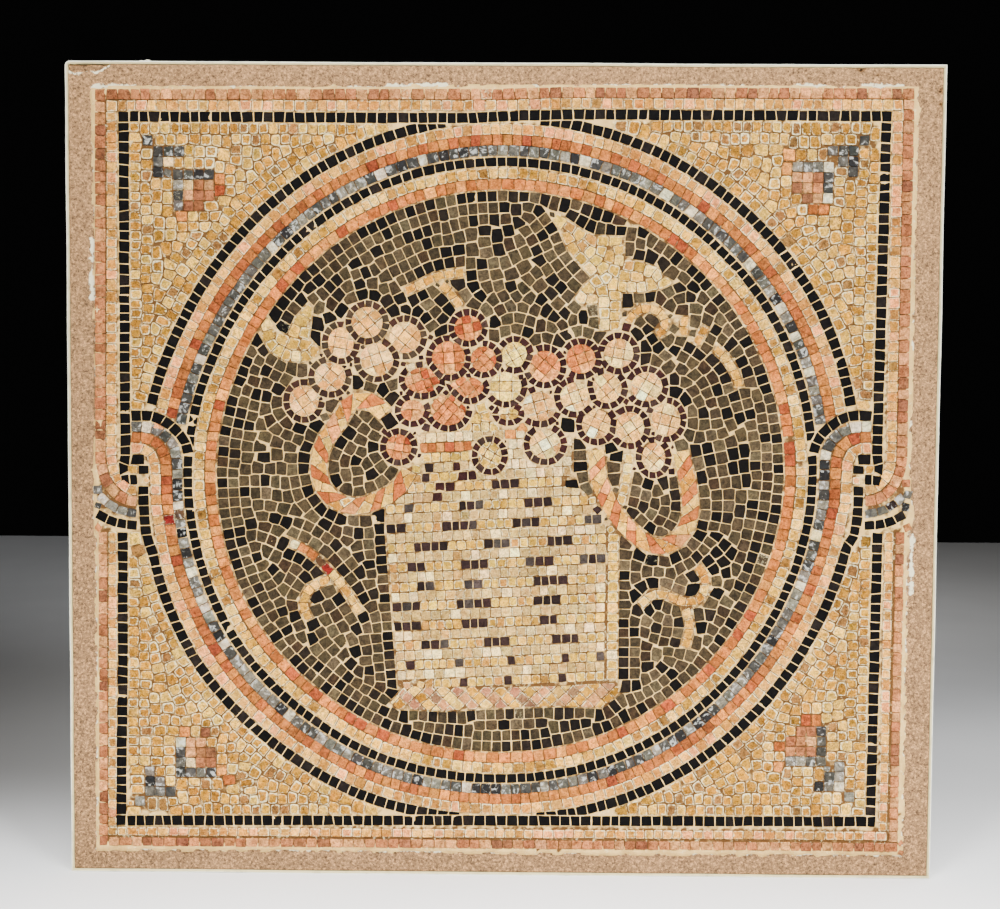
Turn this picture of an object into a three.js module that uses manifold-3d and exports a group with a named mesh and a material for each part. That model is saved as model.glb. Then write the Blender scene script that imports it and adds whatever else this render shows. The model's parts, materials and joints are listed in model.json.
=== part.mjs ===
// Framed floor mosaic on a mortar slab: a basket of fruit on a dark disc, ringed by bands that interlace with a
// square border. Millimetres. X runs right, Z up, the back lies on Y = 0 and the mosaic faces -Y.
// Outlines are drawn face on, as [right, up] from the middle of the panel, and pushed forwards from the back.
// Tesserae of one colour that lie side by side form one solid, with the joints between neighbouring solids open.
import * as THREE from "three";
import { mergeVertices } from "three/addons/utils/BufferGeometryUtils.js";
import Module from "manifold-3d";

const wasm = await Module();
wasm.setup();

// Panel and layers, as distances from the back.
const PANEL_WIDTH = 900;
const PANEL_HEIGHT = 842;
const STRIP_THICKNESS = 3;
const STRIP_FRONT = 30;
const STRIP_CORNER_RADIUS = 5;
const SLAB_CLEARANCE = 0.3;
const SLAB_FRONT = 29;
const BED_FRONT = 31;
const TESSERA_RISE = 1.5;

// Laying of the tesserae.
const JOINT = 1.5;
const BAND_WIDTH = 10;
const GROOVE_WIDTH = 1.2;
const GROOVE_DEPTH = 1;
const MOTIF_PITCH = 10.6;

// The rings, from the outside in, measured to the middle of each band from the ring centre.
const RING_CENTRE = [-2, 0];
const BLACK_RADIUS = 367;
const PEACH_RADIUS = 355.5;
const ORANGE_RADIUS = 344.5;
const MARBLE_RADIUS = 333.5;
const INNER_BLACK_RADIUS = 322;
const OCHRE_RADIUS = 310.5;
const PINK_RADIUS = 299;
const GROUND_RADIUS = 292.5;
const RING_SEGMENTS = 48;
// How far the hand-laid outer ring strays outwards, every 30 degrees from the right, anticlockwise.
const OUT_OF_ROUND = [0, 2, 0, -2, -2.5, -4, 2, 4.5, -1, -6, -4, -4];

// Height of the middle of the knot at each side.
const KNOT_HEIGHT = { left: 0, right: 5 };
const SIDES = ["left", "right"];
const SIDE_SIGN = { left: -1, right: 1 };

// ---------------------------------------------------------------- solids from outlines

// A closed geometry as a solid that can be cut and joined.
function solidOf(geometry) {
  geometry.deleteAttribute("normal");
  geometry.deleteAttribute("uv");
  const merged = mergeVertices(geometry, 1e-4);
  return new wasm.Manifold(
    new wasm.Mesh({
      numProp: 3,
      vertProperties: merged.attributes.position.array,
      triVerts: new Uint32Array(merged.index.array),
    }),
  );
}

function geometryOf(solid) {
  const { vertProperties, triVerts } = solid.getMesh();
  const geometry = new THREE.BufferGeometry();
  geometry.setAttribute("position", new THREE.BufferAttribute(new Float32Array(vertProperties), 3));
  geometry.setIndex(new THREE.BufferAttribute(new Uint32Array(triVerts), 1));
  const faceted = geometry.toNonIndexed();
  faceted.computeVertexNormals();
  return faceted;
}

// The outline pushed forwards from one depth to another.
function plate(outline, from = 0, to = TESSERA_RISE, hole = null) {
  const shape = new THREE.Shape(outline.map(([x, z]) => new THREE.Vector2(x, z)));
  if (hole) shape.holes.push(new THREE.Path(hole.map(([x, z]) => new THREE.Vector2(x, z))));
  const geometry = new THREE.ExtrudeGeometry(shape, { depth: to - from, bevelEnabled: false });
  return solidOf(geometry.translate(0, 0, from));
}

const join = (solids) => solids.reduce((whole, solid) => whole.add(solid));
const cut = (solid, cutters) => cutters.reduce((whole, cutter) => whole.subtract(cutter), solid);

// The largest of the pieces that a cut leaves, as crumbs of less than a tessera are laid as mortar.
function mainPiece(solid) {
  const pieces = solid.decompose();
  return pieces.reduce((best, piece) => (piece.volume() > best.volume() ? piece : best));
}

// ---------------------------------------------------------------- outlines

const rectangle = (left, bottom, right, top) => [
  [left, bottom],
  [right, bottom],
  [right, top],
  [left, top],
];

function ellipse([x, z], radiusX, radiusZ = radiusX, segments = 10) {
  return Array.from({ length: segments }, (_, i) => {
    const turn = (2 * Math.PI * (i + 0.5)) / segments;
    return [x + radiusX * Math.cos(turn), z + radiusZ * Math.sin(turn)];
  });
}

// Points beside a path at a distance to its left, with mitred corners.
function beside(path, distance, closed = false) {
  const count = path.length;
  return path.map(([x, z], i) => {
    const before = path[closed ? (i + count - 1) % count : Math.max(i - 1, 0)];
    const after = path[closed ? (i + 1) % count : Math.min(i + 1, count - 1)];
    const here = path[i];
    const arriving = new THREE.Vector2(here[0] - before[0], here[1] - before[1]).normalize();
    const leaving = new THREE.Vector2(after[0] - here[0], after[1] - here[1]).normalize();
    if (!closed && i === 0) arriving.copy(leaving);
    if (!closed && i === count - 1) leaving.copy(arriving);
    const along = arriving.clone().add(leaving).normalize();
    const reach = distance / Math.max(along.dot(arriving), 0.6);
    return [x - along.y * reach, z + along.x * reach];
  });
}

// An outline grown on all sides. Outlines run anticlockwise, so outside is on their right.
function grown(outline, distance) {
  const turning = THREE.ShapeUtils.area(outline.map(([x, z]) => new THREE.Vector2(x, z)));
  return beside(outline, turning > 0 ? -distance : distance, true);
}

// The outline of a row of tesserae laid along a path.
function row(path, width = BAND_WIDTH) {
  return [...beside(path, width / 2), ...beside(path, -width / 2).reverse()];
}

// ---------------------------------------------------------------- rings

function outOfRound(turn) {
  const place = ((turn / (2 * Math.PI)) * OUT_OF_ROUND.length + OUT_OF_ROUND.length) % OUT_OF_ROUND.length;
  const first = Math.floor(place);
  const share = (1 - Math.cos((place - first) * Math.PI)) / 2;
  const next = OUT_OF_ROUND[(first + 1) % OUT_OF_ROUND.length];
  return OUT_OF_ROUND[first] * (1 - share) + next * share;
}

// A point of a ring. The inner rings stray half as much as the outer one.
function ringPoint(radius, turn) {
  const strays = THREE.MathUtils.mapLinear(radius, GROUND_RADIUS, BLACK_RADIUS, 0.5, 1);
  const reach = radius + outOfRound(turn) * strays;
  return [RING_CENTRE[0] + reach * Math.cos(turn), RING_CENTRE[1] + reach * Math.sin(turn)];
}

function ringOutline(radius) {
  const turn = (2 * Math.PI) / RING_SEGMENTS;
  return Array.from({ length: RING_SEGMENTS }, (_, i) => ringPoint(radius, turn * i));
}

// Part of a ring between two angles in degrees, anticlockwise.
function arc(radius, fromDegrees, toDegrees) {
  const from = THREE.MathUtils.degToRad(fromDegrees);
  const to = THREE.MathUtils.degToRad(toDegrees);
  const steps = Math.ceil(((to - from) / (2 * Math.PI)) * RING_SEGMENTS);
  return Array.from({ length: steps + 1 }, (_, i) => ringPoint(radius, from + ((to - from) * i) / steps));
}

const fullRing = (radius, width = BAND_WIDTH) =>
  plate(ringOutline(radius + width / 2), 0, TESSERA_RISE, ringOutline(radius - width / 2));

// ---------------------------------------------------------------- knots

// Points of a knot are [outwards from the ring centre, upwards from the knot's middle].
const KNOT = {
  roseTail: [[414, 14], [413, 4], [409, -8], [402, -19], [393, -26.5], [383, -29.5], [376.5, -30]],
  peachTail: [[402.5, 14], [401, 2], [396, -8], [388, -16], [380, -19], [376.5, -19]],
  eyeColumn: [[388, 20], [388, 13], [391.5, 4], [389, -5.5], [375.5, -8]],
  eyeTop: [[388, 13.5], [368, 13.5]],
  eyeSide: [[368.5, 18.5], [369, -1]],
  ringColumn: [[369.5, -2.5], [369.5, -18], [369.5, -34], [368.5, -50], [366, -68]],
  shortRow: [[382, 58.5], [366, 59], [355, 57.5], [344, 51.5], [334, 43], [326, 33], [322.5, 20]],
  marble: [[382, 47.5], [366, 47.5], [356, 45], [347, 39], [339, 31], [335, 20], [334, 8], [334, -30]],
  orange: [[382, 36.5], [366, 36], [358, 33], [350, 25.5], [346, 14], [345.5, 0], [345, -30]],
  peach: [[382, 25.5], [368, 25], [361, 20], [357.5, 10], [357, -4], [356.5, -30]],
  marbleTail: [[416, -24], [405, -34], [393, -40.5], [376.5, -43]],
  blackTail: [[418, -43], [407, -49], [394, -53.5], [376, -55]],
};

const atKnot = (side, points) =>
  points.map(([outwards, upwards]) => [
    RING_CENTRE[0] + SIDE_SIGN[side] * outwards,
    KNOT_HEIGHT[side] + upwards,
  ]);

// A path that comes out of the left knot, takes the given points and goes into the right knot.
const betweenKnots = (points, way) => [
  ...atKnot("left", points).reverse(),
  ...way,
  ...atKnot("right", points),
];

function knotEye(side) {
  const [[x, z]] = atKnot(side, [[380, 4]]);
  return plate(rectangle(x - 4, z - 4.5, x + 4, z + 3.5));
}

// ---------------------------------------------------------------- border and bands

const ROSE_UPPER = betweenKnots(KNOT.roseTail, [[-413.5, 387], [0, 389], [60, 391], [411.5, 391.5]]);
const PEACH_UPPER = betweenKnots(KNOT.peachTail, [[-401.5, 375.5], [0, 377.5], [60, 380], [400.5, 380]]);
const BLACK_UPPER = betweenKnots(KNOT.eyeColumn, [
  [-389.5, 364.5], [-40, 364.5], [20, 367.5], [80, 369], [389, 368.5],
]);
const ROSE_LOWER = [[-414, -61], [-415.5, -388], [411, -387], [411.5, -55]];
const PEACH_LOWER = [[-403.5, -61], [-406, -377], [399.5, -375], [400, -55]];
const BLACK_LOWER = [
  [-393, -55], [-394, -200], [-397, -365.5], [-60, -362.5], [120, -361.5], [386.5, -360], [388, -50],
];
const LOWER_ROSE_WIDTH = 8.5;
const LOWER_PEACH_WIDTH = 8;

// A band that leaves the left knot downwards, runs round the bottom and goes up into the right knot.
function betweenKnotsBelow(points, radius, fromDegrees, toDegrees) {
  const ring = arc(radius, fromDegrees, toDegrees);
  return [...atKnot("left", points), ...ring, ...atKnot("right", points).reverse()];
}

// Black rows as plates, grown on all sides by an extra: the upper border row with its eyes and the upper ring.
function blackUpperPlates(extra = 0) {
  const eyes = SIDES.flatMap((side) => [atKnot(side, KNOT.eyeTop), atKnot(side, KNOT.eyeSide)]);
  const paths = [BLACK_UPPER, arc(BLACK_RADIUS, 11, 84), arc(BLACK_RADIUS, 96, 169.5), ...eyes];
  return paths.map((path) => plate(row(path, BAND_WIDTH + 2 * extra)));
}

// The lower border row, the tails that stick out of the knots and the lower half of the outer ring.
function blackLowerPlates(extra = 0) {
  const ring = betweenKnotsBelow(KNOT.ringColumn, BLACK_RADIUS, 193, 349);
  const tails = SIDES.map((side) => atKnot(side, KNOT.blackTail));
  return [BLACK_LOWER, ring, ...tails].map((path) => plate(row(path, BAND_WIDTH + 2 * extra)));
}

const shortRowPlates = (extra = 0) =>
  SIDES.map((side) => plate(row(atKnot(side, KNOT.shortRow), BAND_WIDTH + 2 * extra)));

// The black rows are laid first, and the others are trimmed to them with a joint between, a little under the
// usual one so that only what crowds a black row is trimmed.
const TRIM = 1.2;
const clearOfBlack = (solid) =>
  mainPiece(cut(solid, [...blackUpperPlates(TRIM), ...blackLowerPlates(TRIM), ...shortRowPlates(TRIM)]));

const upperBand = (radius) => clearOfBlack(plate(row(arc(radius, 0, 180))));
const lowerBand = (points, radius) => clearOfBlack(plate(row(betweenKnotsBelow(points, radius, 190, 352))));

// ---------------------------------------------------------------- corner fields

// The square inside the black border row.
const FIELD = { left: -393, bottom: -361, right: 385, top: 364 };
const KNOT_CLEARANCE = 57;

// Outlines of a corner motif in steps of one tessera, as [inwards, away from the row]. The first tessera of the
// stepped figure touches the next with its corner.
const STEPS = [
  [0, 0], [1.2, 0], [1.2, 1], [4, 1], [4, 2], [3, 2], [3, 3], [2, 3], [2, 4], [1, 4], [1, 1.2], [0, 1.2],
];
const BRACKET = [[0, 0], [4, 0], [4, 1], [1, 1], [1, 4], [0, 4]];
const BLOCK = [[1, 1], [4, 1], [4, 3], [3, 3], [3, 4], [1, 4]];

const CORNERS = {
  top_left: { right: -1, up: 1, steps: [-365, 340], bracket: [-334, 306] },
  top_right: { right: 1, up: 1, steps: [367, 344], bracket: [331, 317] },
  bottom_right: { right: 1, up: -1, steps: [364, -334], bracket: [334, -297] },
  bottom_left: { right: -1, up: -1, steps: [-377, -345], bracket: [-334, -314] },
};

// A motif's outline, grown by an extra, from the centre of its outermost tessera.
function motif(corner, cells, [x, z], extra = 0) {
  const outline = cells.map(([inwards, away]) => [
    x - corner.right * (inwards - 0.5) * MOTIF_PITCH,
    z - corner.up * (away - 0.5) * MOTIF_PITCH,
  ]);
  return plate(grown(outline, extra - JOINT / 2));
}

function cornerField(corner) {
  const quarter = rectangle(
    corner.right < 0 ? FIELD.left : 0,
    corner.up < 0 ? FIELD.bottom : KNOT_CLEARANCE,
    corner.right < 0 ? 0 : FIELD.right,
    corner.up < 0 ? -KNOT_CLEARANCE : FIELD.top,
  );
  const ring = plate(ringOutline(BLACK_RADIUS + BAND_WIDTH / 2 + JOINT));
  const motifs = [
    motif(corner, STEPS, corner.steps, JOINT),
    motif(corner, BRACKET, corner.bracket, JOINT),
    motif(corner, BLOCK, corner.bracket, JOINT),
  ];
  return clearOfBlack(cut(plate(quarter), [ring, ...motifs]));
}

// ---------------------------------------------------------------- fruits

// Each fruit is [right, up, half width, half height].
const LEFT_FRUITS = [
  [-140, 156, 16, 16],
  [-167, 135, 13, 16],
  [-130, 118, 17, 17],
  [-178, 100, 16, 15],
  [-205, 75, 15, 16],
  [-101, 141, 16, 16],
];
const MIDDLE_FRUITS = [
  [-36, 151, 14, 13],
  [-56, 120, 17, 17],
  [-20, 119, 13, 13],
  [-83, 97, 18, 13],
  [-37, 90, 17, 11],
  [-93, 66, 12, 11],
  [-56, 67, 18, 16],
  [12, 124, 13, 13],
  [3, 91, 16, 15],
  [6, 63, 11, 6],
  [43, 112, 16, 16],
  [80, 120, 15, 15],
];
const RIGHT_FRUITS = [
  [119, 126, 15, 15],
  [107, 90, 15, 15],
  [148, 92, 16, 15],
  [75, 81, 16, 15],
  [38, 71, 17, 15],
  [97, 53, 15, 15],
  [131, 50, 15, 16],
  [168, 58, 15, 17],
  [44, 32, 16, 15],
  [156, 19, 12, 15],
];
const LEFT_HANGING_FRUIT = [[-107, 28, 13, 13]];
const MIDDLE_HANGING_FRUIT = [[-13, 20, 12, 14]];
// Small dark tesserae run round every fruit.
const FRUIT_EDGING = 7;

const fruitPlates = (fruits, extra) =>
  fruits.map(([x, z, halfWidth, halfHeight]) => plate(ellipse([x, z], halfWidth + extra, halfHeight + extra)));

// Fruits with their edging, cut clear of the others, with a groove round each fruit.
function fruitGroup(fruits, others) {
  const body = cut(join(fruitPlates(fruits, FRUIT_EDGING)), fruitPlates(others, FRUIT_EDGING + JOINT));
  const grooves = fruits.map(([x, z, halfWidth, halfHeight]) =>
    plate(
      ellipse([x, z], halfWidth + GROOVE_WIDTH, halfHeight + GROOVE_WIDTH),
      TESSERA_RISE - GROOVE_DEPTH,
      TESSERA_RISE + 1,
      ellipse([x, z], halfWidth, halfHeight),
    ),
  );
  return mainPiece(cut(body, grooves));
}

const ALL_FRUITS = [
  ...LEFT_FRUITS,
  ...MIDDLE_FRUITS,
  ...RIGHT_FRUITS,
  ...LEFT_HANGING_FRUIT,
  ...MIDDLE_HANGING_FRUIT,
];

// ---------------------------------------------------------------- basket and handles

const HANDLE_WIDTH = 17;
const HANDLE_PITCH = 13;
const LEFT_HANDLE = [
  [-121, 62], [-132, 73], [-147, 77], [-160, 70], [-170, 53], [-181, 38], [-188, 22], [-190, 4],
  [-186, -13], [-176, -26], [-161, -33], [-144, -33], [-128, -27], [-113, -19], [-103, -9], [-96, 4],
];
const RIGHT_HANDLE = [
  [96, 27], [98, 10], [99, -3], [105, -17], [113, -33], [125, -49], [138, -61], [152, -71],
  [168, -73], [182, -66], [191, -53], [195, -37], [194, -20], [191, -3], [187, 12], [184, 26],
];
// A short strip that branches off inside the right handle.
const RIGHT_HANDLE_BRANCH = [[131, 23], [129, 2], [126, -16], [122, -36]];

const BASKET_WALL = [
  [-120, -36], [-120, -60], [-107, -219.5], [107.5, -214], [108.5, -50], [93, -34], [88, -22], [80, -15],
  [62, -14], [62, -4], [72, -3], [72, 43], [-91, 43], [-85, 26], [-80, 7], [-92, 1], [-94, -12], [-106, -20],
];
const BASKET_SIDE_COLUMN = [[115.5, -62], [115.5, -212.5]];
const BASKET_FOOT = [
  [-116, -240], [-107, -245], [-60, -246.5], [0, -243], [60, -240.5], [104, -242], [122, -228],
  [124, -216], [100, -217], [60, -220], [0, -221.5], [-100, -221.5],
];
// Courses of the basket climb to the right.
const COURSE_PITCH = 10.2;
const COURSE_CLIMB = 13;
const COURSES = 23;
const LOWEST_COURSE = -211;
// Paired diagonals of the braid along the basket's foot.
const BRAID_PITCH = 21;

const groove = (path) => plate(row(path, GROOVE_WIDTH), TESSERA_RISE - GROOVE_DEPTH, TESSERA_RISE + 1);

function basketWall() {
  const grooves = Array.from({ length: COURSES }, (_, i) => {
    const height = LOWEST_COURSE + i * COURSE_PITCH;
    return groove([[-130, height - COURSE_CLIMB / 2], [0, height], [120, height + COURSE_CLIMB / 2]]);
  });
  return mainPiece(cut(plate(BASKET_WALL), [...figuresAround(handlePlates(JOINT)), ...grooves]));
}

function basketFoot() {
  const grooves = Array.from({ length: 11 }, (_, i) => {
    const x = -112 + i * BRAID_PITCH;
    return groove([[x, -252], [x + 13, -231], [x, -210]]);
  });
  return cut(plate(BASKET_FOOT), grooves);
}

const handlePlates = (extra) => [
  plate(row(LEFT_HANDLE, HANDLE_WIDTH + 2 * extra)),
  plate(row(RIGHT_HANDLE, HANDLE_WIDTH + 2 * extra)),
  plate(row(RIGHT_HANDLE_BRANCH, BAND_WIDTH + 2 * extra)),
];

// Fruits grown by a joint, with whatever else lies around a piece.
const figuresAround = (others) => [...fruitPlates(ALL_FRUITS, FRUIT_EDGING + JOINT), ...others];

// Slanting joints that make a handle look like rope.
function ropeGrooves(path) {
  const curve = new THREE.CatmullRomCurve3(path.map(([x, z]) => new THREE.Vector3(x, z, 0)));
  const count = Math.round(curve.getLength() / HANDLE_PITCH);
  return Array.from({ length: count - 1 }, (_, i) => {
    const at = curve.getPointAt((i + 1) / count);
    const along = curve.getTangentAt((i + 1) / count);
    const slant = new THREE.Vector2(along.x - along.y, along.y + along.x).multiplyScalar(HANDLE_WIDTH * 0.6);
    return groove([[at.x - slant.x, at.y - slant.y], [at.x + slant.x, at.y + slant.y]]);
  });
}

function leftHandle() {
  const body = cut(plate(row(LEFT_HANDLE, HANDLE_WIDTH)), fruitPlates(ALL_FRUITS, FRUIT_EDGING + JOINT));
  return mainPiece(cut(mainPiece(body), ropeGrooves(LEFT_HANDLE)));
}

function rightHandle() {
  const parts = [plate(row(RIGHT_HANDLE, HANDLE_WIDTH)), plate(row(RIGHT_HANDLE_BRANCH))];
  const body = cut(join(parts), fruitPlates(ALL_FRUITS, FRUIT_EDGING + JOINT));
  return mainPiece(cut(mainPiece(body), ropeGrooves(RIGHT_HANDLE)));
}

// ---------------------------------------------------------------- leaf, twig, bird and scrolls

const LEAF = [
  [-249, 158], [-241, 160], [-232, 146], [-222, 142], [-214, 160], [-200, 176], [-196, 172], [-200, 140],
  [-189, 128], [-194, 119], [-205, 115], [-226, 117], [-240, 126], [-248, 140],
];
const BIRD = [
  [41, 274], [56, 254], [65, 233], [76, 219], [91, 203], [83, 196], [73, 182], [79, 177], [98, 177],
  [100, 150], [119, 150], [121, 189], [141, 189], [160, 192], [176, 199], [162, 206], [158, 214],
  [138, 220], [123, 222], [123, 245], [92, 246], [80, 252], [62, 264],
];
const TWIG = [[-101, 188], [-86, 195], [-72, 202], [-57, 206], [-40, 208]];
const TWIG_BRANCH = [[-68, 199], [-54, 187], [-44, 173]];
const SMALL_ARCH = [
  [128, 158], [132, 166], [141, 172], [153, 173], [163, 167], [168, 157], [164, 149], [158, 145],
];
const DASH_INNER = [[186, 164], [185, 145]];
const DASH_OUTER = [[208, 154], [198, 136]];
const CURVED_BAND = [[218, 132], [227, 124], [234, 115], [240, 104], [243, 92]];
const LEFT_HOOK = [[-219, -72], [-205, -78], [-189, -90], [-172, -108], [-158, -126], [-147, -144]];
const LEFT_HOOK_LOOP = [[-172, -108], [-186, -112], [-199, -119], [-206, -131], [-205, -142], [-200, -152]];
const RIGHT_SCROLL = [
  [203, -93], [211, -104], [212, -117], [206, -128], [194, -132], [181, -128], [168, -122], [155, -123],
  [144, -134],
];
const RIGHT_SCROLL_STROKE = [[189, -130], [194, -145], [196, -158], [191, -178]];
const SCROLL_WIDTH = 9;

const FIGURE_OUTLINES = {
  leaf: [LEAF],
  bird: [BIRD],
  twig: [row(TWIG, SCROLL_WIDTH), row(TWIG_BRANCH, SCROLL_WIDTH)],
  small_arch: [row(SMALL_ARCH, SCROLL_WIDTH)],
  dash_inner: [row(DASH_INNER, SCROLL_WIDTH)],
  dash_outer: [row(DASH_OUTER, SCROLL_WIDTH)],
  curved_band: [row(CURVED_BAND, SCROLL_WIDTH)],
  left_hook: [row(LEFT_HOOK, SCROLL_WIDTH), row(LEFT_HOOK_LOOP, SCROLL_WIDTH)],
  right_scroll: [row(RIGHT_SCROLL, SCROLL_WIDTH), row(RIGHT_SCROLL_STROKE, SCROLL_WIDTH)],
};

// A figure on the dark ground, cut clear of the fruits.
function figure(name) {
  const body = join(FIGURE_OUTLINES[name].map((outline) => plate(outline)));
  const disc = plate(ringOutline(GROUND_RADIUS));
  return mainPiece(cut(body.intersect(disc), fruitPlates(ALL_FRUITS, FRUIT_EDGING + JOINT)));
}

// ---------------------------------------------------------------- dark ground

// The disc less every figure on it: the main stretch, the ground inside the right handle, and the pocket among
// the middle fruits, which is laid in ochre.
function groundPieces() {
  const figures = Object.values(FIGURE_OUTLINES).flat().map((outline) => plate(grown(outline, JOINT)));
  const basket = [plate(grown(BASKET_WALL, JOINT)), plate(grown(BASKET_FOOT, JOINT))];
  const column = plate(grown(row(BASKET_SIDE_COLUMN, BAND_WIDTH), JOINT));
  const whole = cut(plate(ringOutline(GROUND_RADIUS)), [
    ...figuresAround(handlePlates(JOINT)),
    ...figures,
    ...basket,
    column,
  ]);
  return whole.decompose().sort((one, other) => other.volume() - one.volume());
}

// ---------------------------------------------------------------- backing

// Pits and the crack in the slab's margin, as [right, up] outlines with a depth.
const CORNER_PIT = [
  [-460, 411], [-441, 408], [-432, 409], [-425, 412], [-419, 409], [-412, 412], [-404, 417], [-404, 430],
  [-460, 430],
];
const CRACK = [[350, 419], [362, 415], [371, 411], [385, 410], [398, 408], [403, 402]];
const EDGE_HOLE = ellipse([364, 415.5], 4, 2.5, 8);
const SIDE_HOLE = ellipse([444, 394.5], 2, 3.5, 8);
const SIDE_CHIP = [[442, 385], [448, 379], [448, 384]];
const PIT_DEPTH = 3;

function edgeFrame() {
  const [right, top] = [PANEL_WIDTH / 2, PANEL_HEIGHT / 2];
  const rounded = Array.from({ length: 4 }, (_, i) => {
    const turn = Math.PI / 2 + (i * Math.PI) / 6;
    const reach = STRIP_CORNER_RADIUS;
    return [-right + reach * (1 + Math.cos(turn)), top - reach * (1 - Math.sin(turn))];
  });
  const outside = [[-right, -top], [right, -top], [right, top], ...rounded];
  const inside = rectangle(
    STRIP_THICKNESS - right,
    STRIP_THICKNESS - top,
    right - STRIP_THICKNESS,
    top - STRIP_THICKNESS,
  );
  return plate(outside, 0, STRIP_FRONT, inside);
}

function mortarSlab() {
  const right = PANEL_WIDTH / 2 - STRIP_THICKNESS - SLAB_CLEARANCE;
  const top = PANEL_HEIGHT / 2 - STRIP_THICKNESS - SLAB_CLEARANCE;
  const pit = (outline, depth) => plate(outline, SLAB_FRONT - depth, SLAB_FRONT + 1);
  return mainPiece(
    cut(plate(rectangle(-right, -top, right, top), 0, SLAB_FRONT), [
      pit(CORNER_PIT, PIT_DEPTH),
      pit(row(CRACK, 1.2), 2),
      pit(EDGE_HOLE, 6),
      pit(SIDE_HOLE, 6),
      pit(SIDE_CHIP, 2),
    ]),
  );
}

// The lime bed shows in the joints and as a thin uneven line round the mosaic.
const BED_OUTLINE = [
  [-422, -396], [-200, -395.5], [60, -396], [300, -395.5], [419.5, -396], [419, -200], [419, -60],
  [425, -38], [419, -12], [419.5, 60], [420, 396.5], [180, 398.5], [-20, 396.5], [-200, 394.5],
  [-400, 394], [-421.5, 391], [-420, 280], [-419.5, 60], [-422, 4], [-423, -45], [-420.5, -62], [-421, -250],
];

function settingBed() {
  return plate(BED_OUTLINE, 0, BED_FRONT - SLAB_FRONT);
}

// ---------------------------------------------------------------- materials and assembly

const STONE_ROUGHNESS = 0.8;
const stone = (color) => new THREE.MeshStandardMaterial({ color, roughness: STONE_ROUGHNESS, metalness: 0 });
const MATERIALS = {
  cream_metal: new THREE.MeshStandardMaterial({ color: "#e6e0cb", roughness: 0.45, metalness: 0 }),
  mortar: new THREE.MeshStandardMaterial({ color: "#bb9b82", roughness: 0.95, metalness: 0 }),
  lime: new THREE.MeshStandardMaterial({ color: "#e2cfae", roughness: 0.95, metalness: 0 }),
  black: stone("#2b2826"),
  taupe: stone("#51463a"),
  rose: stone("#c08068"),
  peach: stone("#dcae82"),
  orange: stone("#cc8058"),
  marble: stone("#76828c"),
  ochre: stone("#c99a5c"),
  pink: stone("#d98f6c"),
  sand: stone("#cdb689"),
  rope: stone("#d9a06c"),
  pale: stone("#dfc39a"),
  fruit: stone("#dfb48d"),
};

const panel = new THREE.Group();

// Adds a solid as a mesh that stands upright, with its outline's plane at a distance from the back.
function place(name, solid, material, distance = BED_FRONT) {
  const mesh = new THREE.Mesh(geometryOf(solid), MATERIALS[material]);
  mesh.name = name;
  mesh.rotation.x = Math.PI / 2;
  mesh.position.y = -distance;
  panel.add(mesh);
}

place("edge_frame", edgeFrame(), "cream_metal", 0);
place("mortar_slab", mortarSlab(), "mortar", 0);
place("setting_bed", settingBed(), "lime", SLAB_FRONT);

place("rose_border_upper", plate(row(ROSE_UPPER)), "rose");
place("rose_border_lower", plate(row(ROSE_LOWER, LOWER_ROSE_WIDTH)), "rose");
place("peach_border_upper", clearOfBlack(plate(row(PEACH_UPPER))), "peach");
place("peach_border_lower", clearOfBlack(plate(row(PEACH_LOWER, LOWER_PEACH_WIDTH))), "peach");
place("black_interlace_upper", join(blackUpperPlates()), "black");
place("black_interlace_lower", join(blackLowerPlates()), "black");
place("black_ring_inner", join([fullRing(INNER_BLACK_RADIUS), ...shortRowPlates()]), "black");

place("peach_band_upper", upperBand(PEACH_RADIUS), "peach");
place("orange_band_upper", upperBand(ORANGE_RADIUS), "orange");
place("marble_band_upper", upperBand(MARBLE_RADIUS), "marble");
place("peach_band_lower", lowerBand(KNOT.peach, PEACH_RADIUS), "peach");
place("orange_band_lower", lowerBand(KNOT.orange, ORANGE_RADIUS), "orange");
place("marble_band_lower", lowerBand(KNOT.marble, MARBLE_RADIUS), "marble");
place("ochre_ring", fullRing(OCHRE_RADIUS), "ochre");
place("pink_ring", fullRing(PINK_RADIUS), "pink");
for (const side of SIDES) {
  place(`knot_tail_${side}`, clearOfBlack(plate(row(atKnot(side, KNOT.marbleTail)))), "marble");
  place(`knot_eye_${side}`, knotEye(side), "pale");
}

for (const [name, corner] of Object.entries(CORNERS)) {
  place(`corner_field_${name}`, cornerField(corner), "ochre");
  place(`corner_steps_${name}`, motif(corner, STEPS, corner.steps), "marble");
  place(`corner_bracket_${name}`, motif(corner, BRACKET, corner.bracket), "marble");
  place(`corner_block_${name}`, motif(corner, BLOCK, corner.bracket), "rose");
}

place("basket_wall", basketWall(), "sand");
place("basket_side_column", plate(row(BASKET_SIDE_COLUMN)), "ochre");
place("basket_foot", basketFoot(), "rope");
place("handle_left", leftHandle(), "rope");
place("handle_right", rightHandle(), "rope");

place("fruits_left", fruitGroup(LEFT_FRUITS, []), "fruit");
place("fruits_middle", fruitGroup(MIDDLE_FRUITS, LEFT_FRUITS), "orange");
place("fruits_right", fruitGroup(RIGHT_FRUITS, MIDDLE_FRUITS), "pale");
place("fruit_hanging_left", fruitGroup(LEFT_HANGING_FRUIT, MIDDLE_FRUITS), "orange");
place("fruit_hanging_middle", fruitGroup(MIDDLE_HANGING_FRUIT, [...MIDDLE_FRUITS, ...RIGHT_FRUITS]), "ochre");

for (const name of Object.keys(FIGURE_OUTLINES)) {
  place(name, figure(name), "pale");
}

const [mainGround, handleGround, fruitPocket] = groundPieces();
place("dark_ground", mainGround, "taupe");
place("dark_ground_in_handle", handleGround, "taupe");
place("fruit_infill", fruitPocket, "ochre");

export default panel;
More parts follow.
